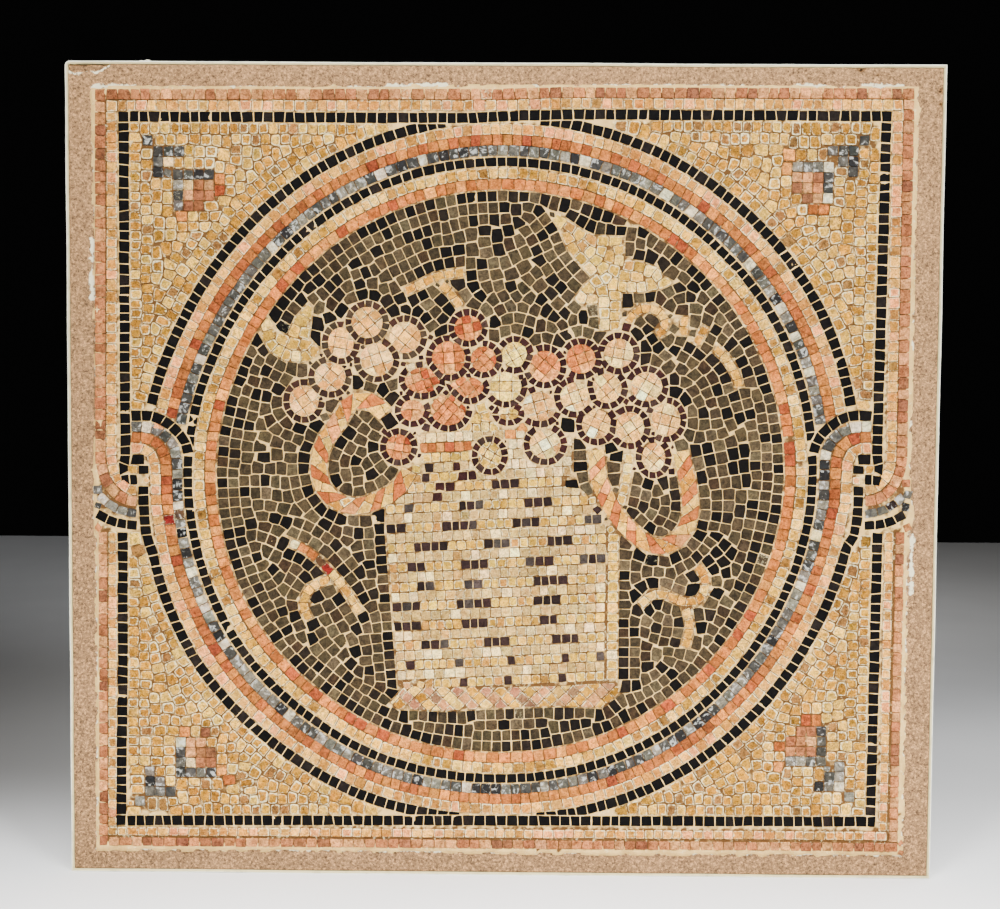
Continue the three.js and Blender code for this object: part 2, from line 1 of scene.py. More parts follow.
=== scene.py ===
"""Looks of the framed mosaic panel: every tessera as a small worn stone pressed into a lime bed.

Places on the panel's face are complex numbers, right + 1j * up, in millimetres from the panel's middle, and
depths are millimetres forwards from the back. They become metres when a mesh is made.
"""
import cmath
import json
import math
import random
from typing import NamedTuple

import bmesh
import bpy
import numpy as np
from mathutils import Matrix, Vector, kdtree, noise


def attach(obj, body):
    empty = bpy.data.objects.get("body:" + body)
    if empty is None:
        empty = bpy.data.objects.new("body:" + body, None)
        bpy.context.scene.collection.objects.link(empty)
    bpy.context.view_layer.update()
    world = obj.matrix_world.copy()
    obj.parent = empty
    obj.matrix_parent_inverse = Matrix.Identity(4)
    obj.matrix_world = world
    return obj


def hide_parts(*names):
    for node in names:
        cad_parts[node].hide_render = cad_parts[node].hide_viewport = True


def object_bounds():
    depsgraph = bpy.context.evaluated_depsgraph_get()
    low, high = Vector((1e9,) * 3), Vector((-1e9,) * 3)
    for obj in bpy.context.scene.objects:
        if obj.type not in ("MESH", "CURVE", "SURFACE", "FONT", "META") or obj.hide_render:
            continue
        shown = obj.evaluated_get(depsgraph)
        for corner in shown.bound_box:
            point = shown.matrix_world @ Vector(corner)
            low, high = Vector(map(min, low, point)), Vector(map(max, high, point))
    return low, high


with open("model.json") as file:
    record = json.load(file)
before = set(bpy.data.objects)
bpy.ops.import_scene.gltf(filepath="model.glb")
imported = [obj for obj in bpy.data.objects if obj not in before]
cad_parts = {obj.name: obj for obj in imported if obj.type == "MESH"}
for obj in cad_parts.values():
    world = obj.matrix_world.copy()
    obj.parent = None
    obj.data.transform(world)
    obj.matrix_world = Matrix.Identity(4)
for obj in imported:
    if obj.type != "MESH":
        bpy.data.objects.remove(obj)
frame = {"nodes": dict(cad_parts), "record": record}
CAD_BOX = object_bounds()

MM = 0.001

# --- sizes

# Joints between stones. Dark rows and the dark ground are laid a little wider apart.
JOINT = 0.8
DARK_JOINT = 0.85
BAND_WIDTH = 10.8
BAND_PITCH = 10.6
MOTIF_PITCH = 10.6
FILL_PITCH = 11.2
FIELD_PITCH = 10.9
# The lime bed: the mesh of its grid, its level between dark stones and how far it sinks between light ones.
BED_GRID = 3.2
BED_LEVEL = 31.95
LIME_SUNK = 0.9
STONE_TOP = 32.5
SLAB_FRONT = 29.0
# A stone's place counts as inside a fruit up to this far outside its rim, where its edging lies.
FRUIT_MARGIN = 6.5
# Other figures are cut back to this far outside a fruit's rim.
FIGURE_MARGIN = 7.4

RING_CENTRE = complex(-2, 0)
BLACK_RADIUS = 367.0
PEACH_RADIUS = 355.5
ORANGE_RADIUS = 344.5
MARBLE_RADIUS = 333.5
INNER_BLACK_RADIUS = 322.0
OCHRE_RADIUS = 310.5
PINK_RADIUS = 299.0
GROUND_RADIUS = 292.5
# How far the hand-laid outer ring strays outwards, every 30 degrees from the right, anticlockwise.
OUT_OF_ROUND = [0, 2, 0, -2, -2.5, -4, 2, 4.5, -1, -6, -4, -4]

KNOT_HEIGHT = {"left": 0, "right": 5}
SIDE_SIGN = {"left": -1, "right": 1}
# The upper bands have no stones below this height.
BAND_SPLIT = 30

# --- colours

LIME = (229, 190, 118)
LIME_SOIL = (167, 127, 66)
# Deep brown painted into the lime sunk between light stones: painted shade in those narrow joints.
LIME_CREVICE_SHADE = (92, 62, 30)
LIME_CLEAN = (238, 226, 178)

# Stones of each kind, as (share, colour).
PALETTES = {
    "black": [(6, (5, 4, 4)), (3, (10, 8, 7)), (1, (24, 19, 16))],
    "rose": [(5, (161, 102, 60)), (3, (142, 86, 52)), (4, (181, 125, 76)), (1, (120, 73, 47))],
    "peach": [(4, (205, 147, 67)), (3, (182, 121, 47)), (2, (216, 139, 80)), (1, (157, 109, 48))],
    "orange": [(5, (157, 90, 40)), (3, (144, 75, 35)), (3, (176, 107, 45)), (1, (120, 54, 30))],
    "marble": [
        (3, (78, 74, 65)), (2, (109, 102, 87)), (3, (52, 50, 45)), (1, (195, 179, 145)),
        (1, (31, 29, 27)),
    ],
    "white": [(3, (224, 193, 133)), (1, (215, 177, 108))],
    "ochre": [(4, (172, 120, 32)), (3, (152, 104, 30)), (3, (194, 150, 60)), (1, (124, 85, 42))],
    "pale ochre": [(4, (201, 158, 58)), (3, (176, 133, 43)), (2, (232, 190, 96)), (1, (155, 109, 44))],
    "pink": [(4, (184, 108, 48)), (3, (160, 88, 36)), (2, (205, 131, 60)), (1, (146, 67, 34))],
    "cream ring": [(4, (197, 145, 52)), (3, (216, 168, 77)), (2, (162, 115, 32)), (1, (136, 93, 35))],
    "beige": [(5, (172, 138, 75)), (3, (184, 151, 87)), (2, (234, 199, 132)), (1, (172, 132, 66))],
    "wall ochre": [(4, (197, 155, 52)), (3, (174, 130, 38)), (2, (208, 158, 66)), (1, (163, 112, 44))],
    "dash": [(3, (40, 27, 25)), (2, (30, 21, 19)), (1, (54, 47, 43))],
    "taupe": [(5, (58, 48, 32)), (3, (49, 40, 27)), (2, (72, 61, 43)), (1, (46, 34, 22))],
    "dark ground": [(3, (8, 6, 5)), (2, (16, 12, 9)), (1, (26, 20, 15))],
    "edging": [(4, (43, 21, 20)), (2, (36, 17, 17)), (1, (53, 37, 32))],
    "edging left": [(3, (52, 33, 26)), (2, (41, 26, 21)), (2, (58, 46, 34))],
    "pale fruit": [(4, (221, 157, 78)), (3, (202, 135, 59)), (2, (239, 183, 109))],
    "cream fruit": [(4, (223, 164, 85)), (3, (231, 194, 114)), (1, (239, 231, 177)), (1, (199, 138, 68))],
    "red fruit": [(4, (197, 116, 58)), (3, (180, 98, 46)), (3, (218, 146, 80)), (1, (147, 64, 32))],
    "yellow fruit": [(4, (234, 197, 93)), (2, (212, 172, 68)), (1, (250, 236, 143))],
    "yellow rope": [(3, (196, 139, 43)), (3, (220, 169, 73)), (1, (180, 119, 31))],
    "red rope": [(4, (178, 99, 46)), (3, (163, 84, 38)), (2, (204, 131, 73))],
    "braid pink": [(3, (172, 117, 70)), (2, (155, 99, 68)), (1, (130, 92, 62))],
    "braid yellow": [(3, (187, 135, 38)), (2, (212, 167, 77)), (1, (164, 112, 24))],
    "brown": [(1, (71, 47, 28))],
    "dark red": [(1, (106, 25, 20))],
}

# How much lime is left on the stones of each kind.
FILM = {
    "black": 0.05, "dash": 0.05, "edging": 0.05, "edging left": 0.1, "dark ground": 0.06, "taupe": 0.14,
    "ochre": 0.26, "pale ochre": 0.24, "rose": 0.16, "peach": 0.2, "orange": 0.15, "marble": 0.1,
    "white": 0.15, "pink": 0.15, "cream ring": 0.2, "beige": 0.14, "wall ochre": 0.2,
    "pale fruit": 0.16, "cream fruit": 0.14, "red fruit": 0.12, "yellow fruit": 0.16,
    "yellow rope": 0.12, "red rope": 0.1, "braid pink": 0.16, "braid yellow": 0.16,
    "brown": 0.1, "dark red": 0.1,
}

# How far the corners of some kinds are worn, in millimetres, where it isn't the usual wear.
WEAR = {
    "black": 1.0, "dark ground": 1.1, "taupe": 1.2, "ochre": 3.2, "pale ochre": 2.4, "cream ring": 2.6,
    "wall ochre": 2.4, "white": 1.8,
}


def pick(kind, dice):
    """A colour from a palette, a little lighter or darker each time."""
    choices = PALETTES[kind]
    colour = dice.choices([c for _, c in choices], [share for share, _ in choices])[0]
    light = 1 + dice.gauss(0, 0.07)
    return tuple(min(250, channel * (light + dice.gauss(0, 0.013))) for channel in colour)


def linear(channel):
    """A colour channel from 0 to 255, as the renderer's linear light."""
    share = channel / 255
    return share / 12.92 if share <= 0.04045 else ((share + 0.055) / 1.055) ** 2.4


def rgba(colour):
    """A colour from 0 to 255, as the renderer's linear light, without any transparency."""
    return tuple(linear(channel) for channel in colour) + (1.0,)


# --- stones


class Stone:
    """One tessera: a convex outline on the panel's face, seen anticlockwise, and the kind of stone."""

    def __init__(self, outline, kind, dice):
        self.outline = outline
        self.kind = kind
        self.colour = pick(kind, dice)
        self.film = FILM[kind] * (1 + dice.gauss(0, 0.25))

    @property
    def centre(self):
        return sum(self.outline) / len(self.outline)


# Stones laid so far, by the CAD node that they stand for.
laid = {}


def lay(node, stones):
    laid.setdefault(node, []).extend(stones)


def dot(a, b):
    return (a.conjugate() * b).real


def cross(a, b):
    return (a.conjugate() * b).imag


def area(outline):
    return sum(cross(a, b) for a, b in sides(outline)) / 2


def centroid(outline):
    """The centre of area of an outline."""
    size = area(outline)
    if abs(size) < 1e-6:
        return sum(outline) / len(outline)
    return sum((a + b) * cross(a, b) for a, b in sides(outline)) / (6 * size)


# Corners of a square two units wide, anticlockwise.
SQUARE = (-1 - 1j, 1 - 1j, 1 + 1j, -1 + 1j)


def sides(outline):
    """The pairs of neighbouring corners of a closed outline."""
    return list(zip(outline, outline[1:] + outline[:1]))


def anticlockwise(outline):
    """The sides of an outline, with its inside on their left."""
    return sides(outline) if area(outline) > 0 else [(b, a) for a, b in sides(outline)]


def on_face(pairs):
    """Places on the panel's face from (right, up) pairs."""
    return [complex(right, up) for right, up in pairs]


def clip(outline, point, inward):
    """The part of a convex outline on the inward side of a line through a point."""
    result = []
    for here, after in sides(outline):
        depth_here = dot(here - point, inward)
        depth_after = dot(after - point, inward)
        if depth_here >= 0:
            result.append(here)
        if depth_here * depth_after < 0:
            result.append(here + (after - here) * depth_here / (depth_here - depth_after))
    return result


def holds(outline, point):
    """Whether a convex outline holds a point."""
    return all(cross(b - a, point - a) > 0 for a, b in sides(outline))


class Edge:
    """The edge of a region or an obstacle, as points with the direction that stones keep to."""

    def __init__(self, segments, margin=0.0, spacing=2.0):
        points = []
        inwards = []
        for start, end in segments:
            length = abs(end - start)
            if length < 1e-6:
                continue
            inward = 1j * (end - start) / length
            count = max(1, round(length / spacing))
            for i in range(count):
                points.append(start + (end - start) * (i + 0.5) / count + inward * margin)
                inwards.append(inward)
        self.points = np.array(points)
        self.inwards = np.array(inwards)

    def distance(self, places):
        """How far each of some places is from the edge, and which point of it is nearest."""
        nearest = np.empty(len(places), int)
        far = np.empty(len(places))
        for start in range(0, len(places), 400):
            reach = np.abs(places[start : start + 400, None] - self.points)
            nearest[start : start + 400] = reach.argmin(1)
            far[start : start + 400] = reach.min(1)
        return far, nearest

    def trim(self, outline, around, reach):
        """A stone's outline, cut back to stay on its side of the edge."""
        away = np.abs(self.points - around)
        near = np.nonzero(away < reach)[0]
        for i in near[np.argsort(away[near])]:
            if len(outline) > 2 and holds(outline, self.points[i]):
                outline = clip(outline, complex(self.points[i]), complex(self.inwards[i]))
        return outline


# An edge is looked for up to this far from a stone's middle.
TRIM_REACH = 11
# The least area that is left of a stone in a row, of one in a filled region and of a piece of a pattern.
LEAST_IN_ROW = 24
LEAST_IN_FILL = 16
LEAST_IN_PATTERN = 12


def trimmed(stones, edges, least=LEAST_IN_ROW):
    """Stones cut back from some edges, without those that keep too little."""
    kept = []
    for stone in stones:
        outline = stone.outline
        for edge in edges:
            if len(outline) > 2:
                outline = edge.trim(outline, stone.centre, TRIM_REACH)
        if len(outline) > 2 and area(outline) > least:
            stone.outline = outline
            kept.append(stone)
    return kept


# --- paths


def smooth(points, rounding=5):
    """A path through some points, with a place every millimetre or so and its corners a little rounded."""
    corners = np.array(points, complex)
    along = np.concatenate([[0], np.cumsum(np.abs(np.diff(corners)))])
    steps = np.linspace(0, along[-1], max(int(along[-1]), 2 * rounding + 4))
    line = np.interp(steps, along, corners.real) + 1j * np.interp(steps, along, corners.imag)
    before = 2 * line[0] - line[rounding:0:-1]
    after = 2 * line[-1] - line[-2 : -rounding - 2 : -1]
    kernel = np.ones(2 * rounding + 1) / (2 * rounding + 1)
    return np.convolve(np.concatenate([before, line, after]), kernel, "valid")


class Path:
    """A smooth line that stones are laid along, read by the distance from its start."""

    def __init__(self, points, rounding=5):
        self.line = smooth(points, rounding)
        self.along = np.concatenate([[0], np.cumsum(np.abs(np.diff(self.line)))])
        self.length = self.along[-1]

    def at(self, distance):
        right = np.interp(distance, self.along, self.line.real)
        return complex(right, np.interp(distance, self.along, self.line.imag))

    def cut(self, distance, reach):
        """The place at a distance, and the way forwards there, taken over a reach to both sides."""
        before = self.at(max(distance - reach, 0))
        after = self.at(min(distance + reach, self.length))
        return self.at(distance), (after - before) / abs(after - before)


def out_of_round(turn):
    """How far the outer ring strays at an angle, eased from one of the given places to the next."""
    place = (turn / (2 * math.pi) * len(OUT_OF_ROUND)) % len(OUT_OF_ROUND)
    first = int(place)
    share = (1 - math.cos((place - first) * math.pi)) / 2
    following = OUT_OF_ROUND[(first + 1) % len(OUT_OF_ROUND)]
    return OUT_OF_ROUND[first] * (1 - share) + following * share


def ring_point(radius, turn):
    """A point of a ring. The inner rings stray half as much as the outer one."""
    strays = 0.5 + 0.5 * (radius - GROUND_RADIUS) / (BLACK_RADIUS - GROUND_RADIUS)
    return RING_CENTRE + cmath.rect(radius + out_of_round(turn) * strays, turn)


def arc(radius, start, end):
    """Part of a ring between two angles in degrees, anticlockwise."""
    steps = int(abs(end - start) * 2)
    return [ring_point(radius, math.radians(start + (end - start) * i / steps)) for i in range(steps + 1)]


def at_knot(side, points):
    """Points given as (outwards from the ring centre, upwards from the knot's middle)."""
    return [RING_CENTRE + complex(SIDE_SIGN[side] * u, KNOT_HEIGHT[side] + v) for u, v in points]


# A row that turns by more than this at a corner starts a new run of stones there.
CORNER_TURN = math.radians(50)


def straight_runs(corners, width):
    """The runs of a row between its square corners, each holding the corner stone at its end."""
    runs = [[corners[0]]]
    for before, here, after in zip(corners, corners[1:], corners[2:]):
        turning = abs(cmath.phase((after - here) / (here - before)))
        if turning < CORNER_TURN:
            runs[-1].append(here)
            continue
        runs[-1].append(here + (here - before) / abs(here - before) * width / 2)
        runs.append([here + (after - here) / abs(after - here) * (width / 2 + JOINT)])
    runs[-1].append(corners[-1])
    return runs


# --- ways of laying


def between_cuts(first, second, lows, highs, joint=JOINT):
    """The outline between two cuts over a path, from low to high at each, half a joint inside them."""
    start, ahead, across = first
    end, behind, across_end = second
    return [
        start + across * lows[0] + ahead * joint / 2,
        end + across_end * lows[1] - behind * joint / 2,
        end + across_end * highs[1] - behind * joint / 2,
        start + across * highs[0] + ahead * joint / 2,
    ]


def course(points, kind, dice, width=BAND_WIDTH, pitch=BAND_PITCH, joint=JOINT, uneven=0.16, skew=0.06):
    """Stones one behind another along a path. The kind is a name or a function of the stone's place."""
    path = Path(points)
    count = max(1, round(path.length / pitch))
    shares = np.array([1 + dice.uniform(-uneven, uneven) for _ in range(count)])
    cuts = []
    for distance in np.concatenate([[0], np.cumsum(shares)]) * path.length / shares.sum():
        here, forwards = path.cut(distance, 1.5)
        cuts.append((here, forwards, 1j * forwards * cmath.rect(1, dice.gauss(0, skew))))
    stones = []
    for first, second in zip(cuts, cuts[1:]):
        low = -width / 2 + dice.uniform(-0.1, 0.4)
        high = width / 2 - dice.uniform(-0.1, 0.4)
        lows = (low, low + dice.gauss(0, 0.2))
        highs = (high, high + dice.gauss(0, 0.2))
        name = kind((first[0] + second[0]) / 2) if callable(kind) else kind
        stones.append(Stone(between_cuts(first, second, lows, highs, joint), name, dice))
    return stones


def rope(points, width, dice, kinds, pitch=13.2, slant=0.7):
    """Slanting bands of two stones each, in the strands' colours by turns, so that they look twisted."""
    path = Path(points, rounding=8)
    count = max(2, round(path.length / pitch))
    cuts = []
    for i in range(count + 1):
        inner = 0 < i < count
        stray = dice.uniform(-0.12, 0.12) if inner else 0
        here, forwards = path.cut(path.length * (i + stray) / count, 3)
        cuts.append((here, forwards, 1j * forwards * complex(1, -math.tan(slant if inner else 0))))
    stones = []
    for i, (first, second) in enumerate(zip(cuts, cuts[1:])):
        band = between_cuts(first, second, (-width / 2, -width / 2), (width / 2, width / 2))
        lengthways = (first[2] + second[2]) / abs(first[2] + second[2])
        split = sum(band) / 4 + lengthways * dice.uniform(-3, 3)
        for side in (lengthways, -lengthways):
            outline = clip(band, split + side * JOINT / 2, side)
            if len(outline) > 2 and area(outline) > LEAST_IN_PATTERN:
                stones.append(Stone(outline, kinds[i % len(kinds)], dice))
    return stones


def front_segments(node):
    """The edges of a CAD node's front face, with the face on their left.

    The faces keep the order of the mesh, so that each run lays the same stones.
    """
    mesh = bmesh.new()
    mesh.from_mesh(frame["nodes"][node].data)
    bmesh.ops.remove_doubles(mesh, verts=mesh.verts, dist=1e-5)
    front = min(vertex.co.y for vertex in mesh.verts) + 1e-5
    faces = [face for face in mesh.faces if all(vertex.co.y < front for vertex in face.verts)]
    segments = []
    for face in faces:
        for corner in face.loops:
            if sum(other in faces for other in corner.edge.link_faces) == 1:
                start, end = corner.vert.co, corner.link_loop_next.vert.co
                segments.append((complex(start.x, start.z) / MM, complex(end.x, end.z) / MM))
    mesh.free()
    return segments


def inside(places, segments):
    """Which places lie inside some closed outlines."""
    starts = np.array([start for start, _ in segments])
    ends = np.array([end for _, end in segments])
    level = ends.imag == starts.imag
    starts, ends = starts[~level], ends[~level]
    height = places.imag[:, None]
    crossing = (starts.imag > height) != (ends.imag > height)
    across = starts.real + (height - starts.imag) / (ends.imag - starts.imag) * (ends.real - starts.real)
    return (crossing & (places.real[:, None] < across)).sum(1) % 2 == 1


# Places tried at random for each stone of a region, and how near to the edge and to each other the
# middles may lie, as shares of the pitch.
TRIES = 14
NEAREST_EDGE = 0.4
NEAREST_STONE = 0.87


def well_spaced(candidates, pitch):
    """The candidates in their order, without those too near to an earlier one."""
    taken = {}
    chosen = []
    for place in candidates:
        column, row = int(place.real // pitch), int(place.imag // pitch)
        around = [(column + dx, row + dz) for dx in (-1, 0, 1) for dz in (-1, 0, 1)]
        near = [other for square in around for other in taken.get(square, ())]
        if all(abs(place - other) > pitch * NEAREST_STONE for other in near):
            taken.setdefault((column, row), []).append(place)
            chosen.append(place)
    return np.array(chosen)


def seeds(edge, segments, pitch, courses, dice):
    """Middles for the stones of a region: some courses along its edges, then jumbled ones between."""
    candidates = [edge.points + edge.inwards * (i + 0.5) * pitch for i in range(courses)]
    box = np.array([start for start, _ in segments])
    low, high = complex(box.real.min(), box.imag.min()), complex(box.real.max(), box.imag.max())
    count = int((np.ptp(box.real) * np.ptp(box.imag)) / pitch**2 * TRIES)
    jumbled = [
        complex(dice.uniform(low.real, high.real), dice.uniform(low.imag, high.imag)) for _ in range(count)
    ]
    candidates = np.concatenate([*candidates, np.array(jumbled)])
    candidates = candidates[inside(candidates, segments)]
    far, _ = edge.distance(candidates)
    return well_spaced(candidates[far > pitch * NEAREST_EDGE], pitch)


# Half the side of the square that a stone starts as, how far its neighbours are looked for, both as
# shares of the pitch, and how much its sides follow the grain rather than face the neighbours.
CELL_HALF = 0.66
NEIGHBOURS = 1.9
SQUARENESS = 0.62


def shared_side(away, grain):
    """Which way the side between two neighbours faces: one of the grain's four ways, or nearly so."""
    shared = cmath.exp(1j * cmath.phase(grain) / 4)
    facing = away * shared.conjugate()
    axis = complex(math.copysign(1, facing.real), 0)
    if abs(facing.imag) > abs(facing.real):
        axis = complex(0, math.copysign(1, facing.imag))
    normal = axis * shared * SQUARENESS + away / abs(away) * (1 - SQUARENESS)
    return normal / abs(normal)


def cells(places, edge, pitch, joint):
    """The outline round each middle, squared up to the nearest edge and parted from its neighbours."""
    reach = np.abs(places[:, None] - edge.points)
    weight = 1 / (reach**2 + 30) ** 2
    turn = (weight * edge.inwards**4).sum(1)
    grain = turn / np.abs(turn)
    apart = np.abs(places[:, None] - places)
    outlines = []
    for i, place in enumerate(places):
        half = cmath.exp(1j * cmath.phase(grain[i]) / 4) * pitch * CELL_HALF
        outline = [place + half * corner for corner in SQUARE]
        near = np.nonzero(apart[i] < pitch * NEIGHBOURS)[0]
        for j in near[np.argsort(apart[i][near])][1:]:
            normal = shared_side(places[j] - place, grain[i] + grain[j])
            outline = clip(outline, (place + places[j]) / 2 - normal * joint / 2, -normal)
            if len(outline) < 3:
                break
        if len(outline) > 2:
            outline = edge.trim(outline, place, pitch)
        outlines.append(outline)
    return outlines


def fill(segments, pitch, courses, kind, dice, joint=JOINT, settle=4):
    """Stones over a whole region, of a kind worked out from a stone's place and distance from the edge."""
    edge = Edge(segments)
    places = seeds(edge, segments, pitch, courses, dice)
    for _ in range(settle):
        outlines = cells(places, edge, pitch, joint)
        places = np.array([centroid(o) if len(o) > 2 else p for o, p in zip(outlines, places)])
    outlines = cells(places, edge, pitch, joint)
    far, _ = edge.distance(places)
    stones = []
    for outline, place, distance in zip(outlines, places, far):
        if len(outline) > 2 and area(outline) > LEAST_IN_FILL:
            stones.append(Stone(outline, kind(complex(place), distance), dice))
    return stones


def nudged(outline, dice, most=0.3):
    return [point + complex(dice.uniform(-most, most), dice.uniform(-most, most)) for point in outline]


# --- border, rings and knots

KNOT = {
    "rose tail": [(414, 14), (413, 4), (409, -8), (402, -19), (393, -26.5), (383, -29.5), (376.5, -30)],
    "peach tail": [(402.5, 14), (401, 2), (396, -8), (388, -16), (380, -19), (376.5, -19)],
    "eye column": [(388, 20), (388, 13), (391.5, 4), (389, -1)],
    "eye foot": [(392.5, -9), (386, -7.5), (375.5, -7.5)],
    "eye top": [(382, 13.5), (368, 13.5)],
    "eye side": [(369, 7.5), (369, -2)],
    "ring column": [(369.5, -14), (369.5, -34), (368.5, -50), (366, -68)],
    "short row": [(382, 58.5), (366, 59), (355, 57.5), (344, 51.5), (334, 43), (326, 33), (322.5, 20)],
    "marble": [(382, 47.5), (366, 47.5), (356, 45), (347, 39), (339, 31), (335, 20), (334, 8), (334, -30)],
    "orange": [(382, 36.5), (366, 36), (358, 33), (350, 25.5), (346, 14), (345.5, 0), (345, -30)],
    "peach": [(382, 25.5), (368, 25), (361, 20), (357.5, 10), (357, -4), (356.5, -30)],
    "marble tail": [(416, -24), (405, -34), (393, -40.5), (376.5, -43)],
    "black tail": [(418, -43), (407, -49), (394, -53.5), (376, -55)],
}


# The straight rows round the panel. The upper ones run on into the knots.
BORDER = {
    "black top": on_face([(-389.5, 364.5), (-40, 364.5), (20, 367.5), (80, 369), (389, 368.5)]),
    "black low": on_face([
        (-393, -62), (-394, -200), (-397, -365.5), (-60, -362.5), (120, -361.5), (386.5, -360), (388, -57),
    ]),
    "rose top": on_face([(-413.5, 387), (0, 389), (60, 391), (411.5, 391.5)]),
    "peach top": on_face([(-401.5, 375.5), (0, 377.5), (60, 380), (400.5, 380)]),
    "rose low": on_face([(-414, -62), (-415.5, -388), (411, -387), (411.5, -56)]),
    "peach low": on_face([(-403.5, -62), (-406, -377), (399.5, -375), (400, -56)]),
}
# The stretches of the black rows that the rings touch.
TOP_ROW = on_face([(-380, 364.5), (-40, 364.5), (20, 367.5), (80, 369), (380, 368.5)])
FOOT_ROW = on_face([(-390, -365.4), (-60, -362.5), (120, -361.5), (380, -360)])


def between_knots(points, way):
    """A row from the left knot to the right one by some way over the top."""
    return at_knot("left", points)[::-1] + way + at_knot("right", points)


def below_knots(points, radius, start, end):
    """A row from the left knot to the right one along the lower part of a ring."""
    return at_knot("left", points) + arc(radius, start, end) + at_knot("right", points)[::-1]


def lay_runs(node, corners, kind, dice, width=BAND_WIDTH, pitch=BAND_PITCH, joint=JOINT):
    """A row with square corners."""
    for run in straight_runs(corners, width):
        lay(node, course(run, kind, dice, width, pitch, joint))


def row_edge(points, width=BAND_WIDTH):
    """The edge that other stones keep to along a row, a joint away from its stones."""
    path = smooth(points)[::3]
    forwards = np.gradient(path)
    sideways = 1j * forwards / np.abs(forwards) * (width / 2 + JOINT * 0.8)
    left = [complex(point) for point in path + sideways]
    right = [complex(point) for point in path - sideways]
    return Edge(list(zip(left, left[1:])) + list(zip(right[1:], right)))


def lay_border():
    """The black, rose and peach rows, each above the knots and below them."""
    dice = random.Random("border")
    top = between_knots(KNOT["eye column"], BORDER["black top"])
    lay_runs("black_interlace_upper", top, "black", dice, joint=DARK_JOINT)
    lay_runs("black_interlace_lower", BORDER["black low"], "black", dice, joint=DARK_JOINT)
    rose = between_knots(KNOT["rose tail"], BORDER["rose top"])
    lay_runs("rose_border_upper", rose, "rose", dice, pitch=11.6)
    peach = between_knots(KNOT["peach tail"], BORDER["peach top"])
    lay_runs("peach_border_upper", peach, "peach", dice, width=10.4)
    lay_runs("rose_border_lower", BORDER["rose low"], "rose", dice, width=9.0, pitch=11.8)
    lay_runs("peach_border_lower", BORDER["peach low"], "peach", dice, width=8.7)


def lay_knots():
    """Eyes, tails and the short rows that part the upper bands from the lower ones."""
    dice = random.Random("knots")
    for side in SIDE_SIGN:
        rows = {name: at_knot(side, points) for name, points in KNOT.items()}
        for name in ("eye top", "eye side", "eye foot"):
            lay("black_interlace_upper", course(rows[name], "black", dice, pitch=11))
        lay("black_ring_inner", course(rows["short row"], "black", dice))
        lay("black_interlace_lower", course(rows["black tail"], "black", dice, width=9.6, pitch=11))
        lay(f"knot_tail_{side}", course(rows["marble tail"], "marble", dice, width=9, pitch=11))
        (eye,) = at_knot(side, [(380.5, 3)])
        outline = [eye + corner for corner in (-4.6 - 4.2j, 4.6 - 4.2j, 4.6 + 4.6j, -4.6 + 4.6j)]
        lay(f"knot_eye_{side}", [Stone(nudged(outline, dice), "cream ring", dice)])


def lay_rings():
    """The rings round the middle, from the outermost black one inwards, cut back where they meet a row."""
    dice = random.Random("rings")
    short_rows = [row_edge(at_knot(side, KNOT["short row"])) for side in SIDE_SIGN]
    border = row_edge(TOP_ROW)
    foot = row_edge(FOOT_ROW)
    for start, end in ((11.5, 84), (96, 169)):
        stones = course(arc(BLACK_RADIUS, start, end), "black", dice, joint=DARK_JOINT)
        lay("black_interlace_upper", trimmed(stones, [border]))
    ring = below_knots(KNOT["ring column"], BLACK_RADIUS, 193, 349)
    lay("black_interlace_lower", trimmed(course(ring, "black", dice, joint=DARK_JOINT), [foot]))
    bands = (("peach", PEACH_RADIUS, 8.2), ("orange", ORANGE_RADIUS, 8.6), ("marble", MARBLE_RADIUS, 7.6))
    for kind, radius, rise in bands:
        upper = course(arc(radius, rise, 180 - rise + 1), kind, dice)
        upper = trimmed(upper, [*short_rows, border])
        lay(f"{kind}_band_upper", [stone for stone in upper if stone.centre.imag > BAND_SPLIT])
        lower = course(below_knots(KNOT[kind], radius, 190, 352), kind, dice)
        lay(f"{kind}_band_lower", trimmed(lower, [foot]))
    inner = course(arc(INNER_BLACK_RADIUS, 5, 364), "black", dice, width=9.4, joint=DARK_JOINT)
    lay("black_ring_inner", trimmed(inner, short_rows))
    lay("ochre_ring", course(arc(OCHRE_RADIUS, 3, 362), "cream ring", dice))
    lay("pink_ring", course(arc(PINK_RADIUS, 8, 367), "pink", dice, pitch=11.4))


# --- corner fields

# Cells of the corner motifs, as (inwards, away from the row).
STEP_CELLS = [(0, 0), (1, 1), (2, 1), (3, 1), (1, 2), (2, 2), (1, 3)]
BRACKET_CELLS = [(0, 0), (1, 0), (2, 0), (3, 0), (0, 1), (0, 2), (0, 3)]
BLOCK_CELLS = [(1, 1), (2, 1), (3, 1), (1, 2), (2, 2), (3, 2), (1, 3), (2, 3)]
# For each corner its side, right or left and up or down, and where its steps and its bracket start.
CORNERS = {
    "top_left": (-1, 1, complex(-365, 340), complex(-334, 306)),
    "top_right": (1, 1, complex(367, 344), complex(331, 317)),
    "bottom_right": (1, -1, complex(364, -334), complex(334, -297)),
    "bottom_left": (-1, -1, complex(-377, -345), complex(-334, -314)),
}


def motif(cell_list, anchor, right, up, kind, dice):
    """Squares on a grid that starts at an anchor and goes towards the panel's middle."""
    stones = []
    for inwards, away in cell_list:
        middle = anchor - complex(right * inwards, up * away) * MOTIF_PITCH
        half = (MOTIF_PITCH - JOINT) / 2
        outline = [middle + half * corner for corner in SQUARE]
        stones.append(Stone(nudged(outline, dice, 0.5), kind, dice))
    return stones


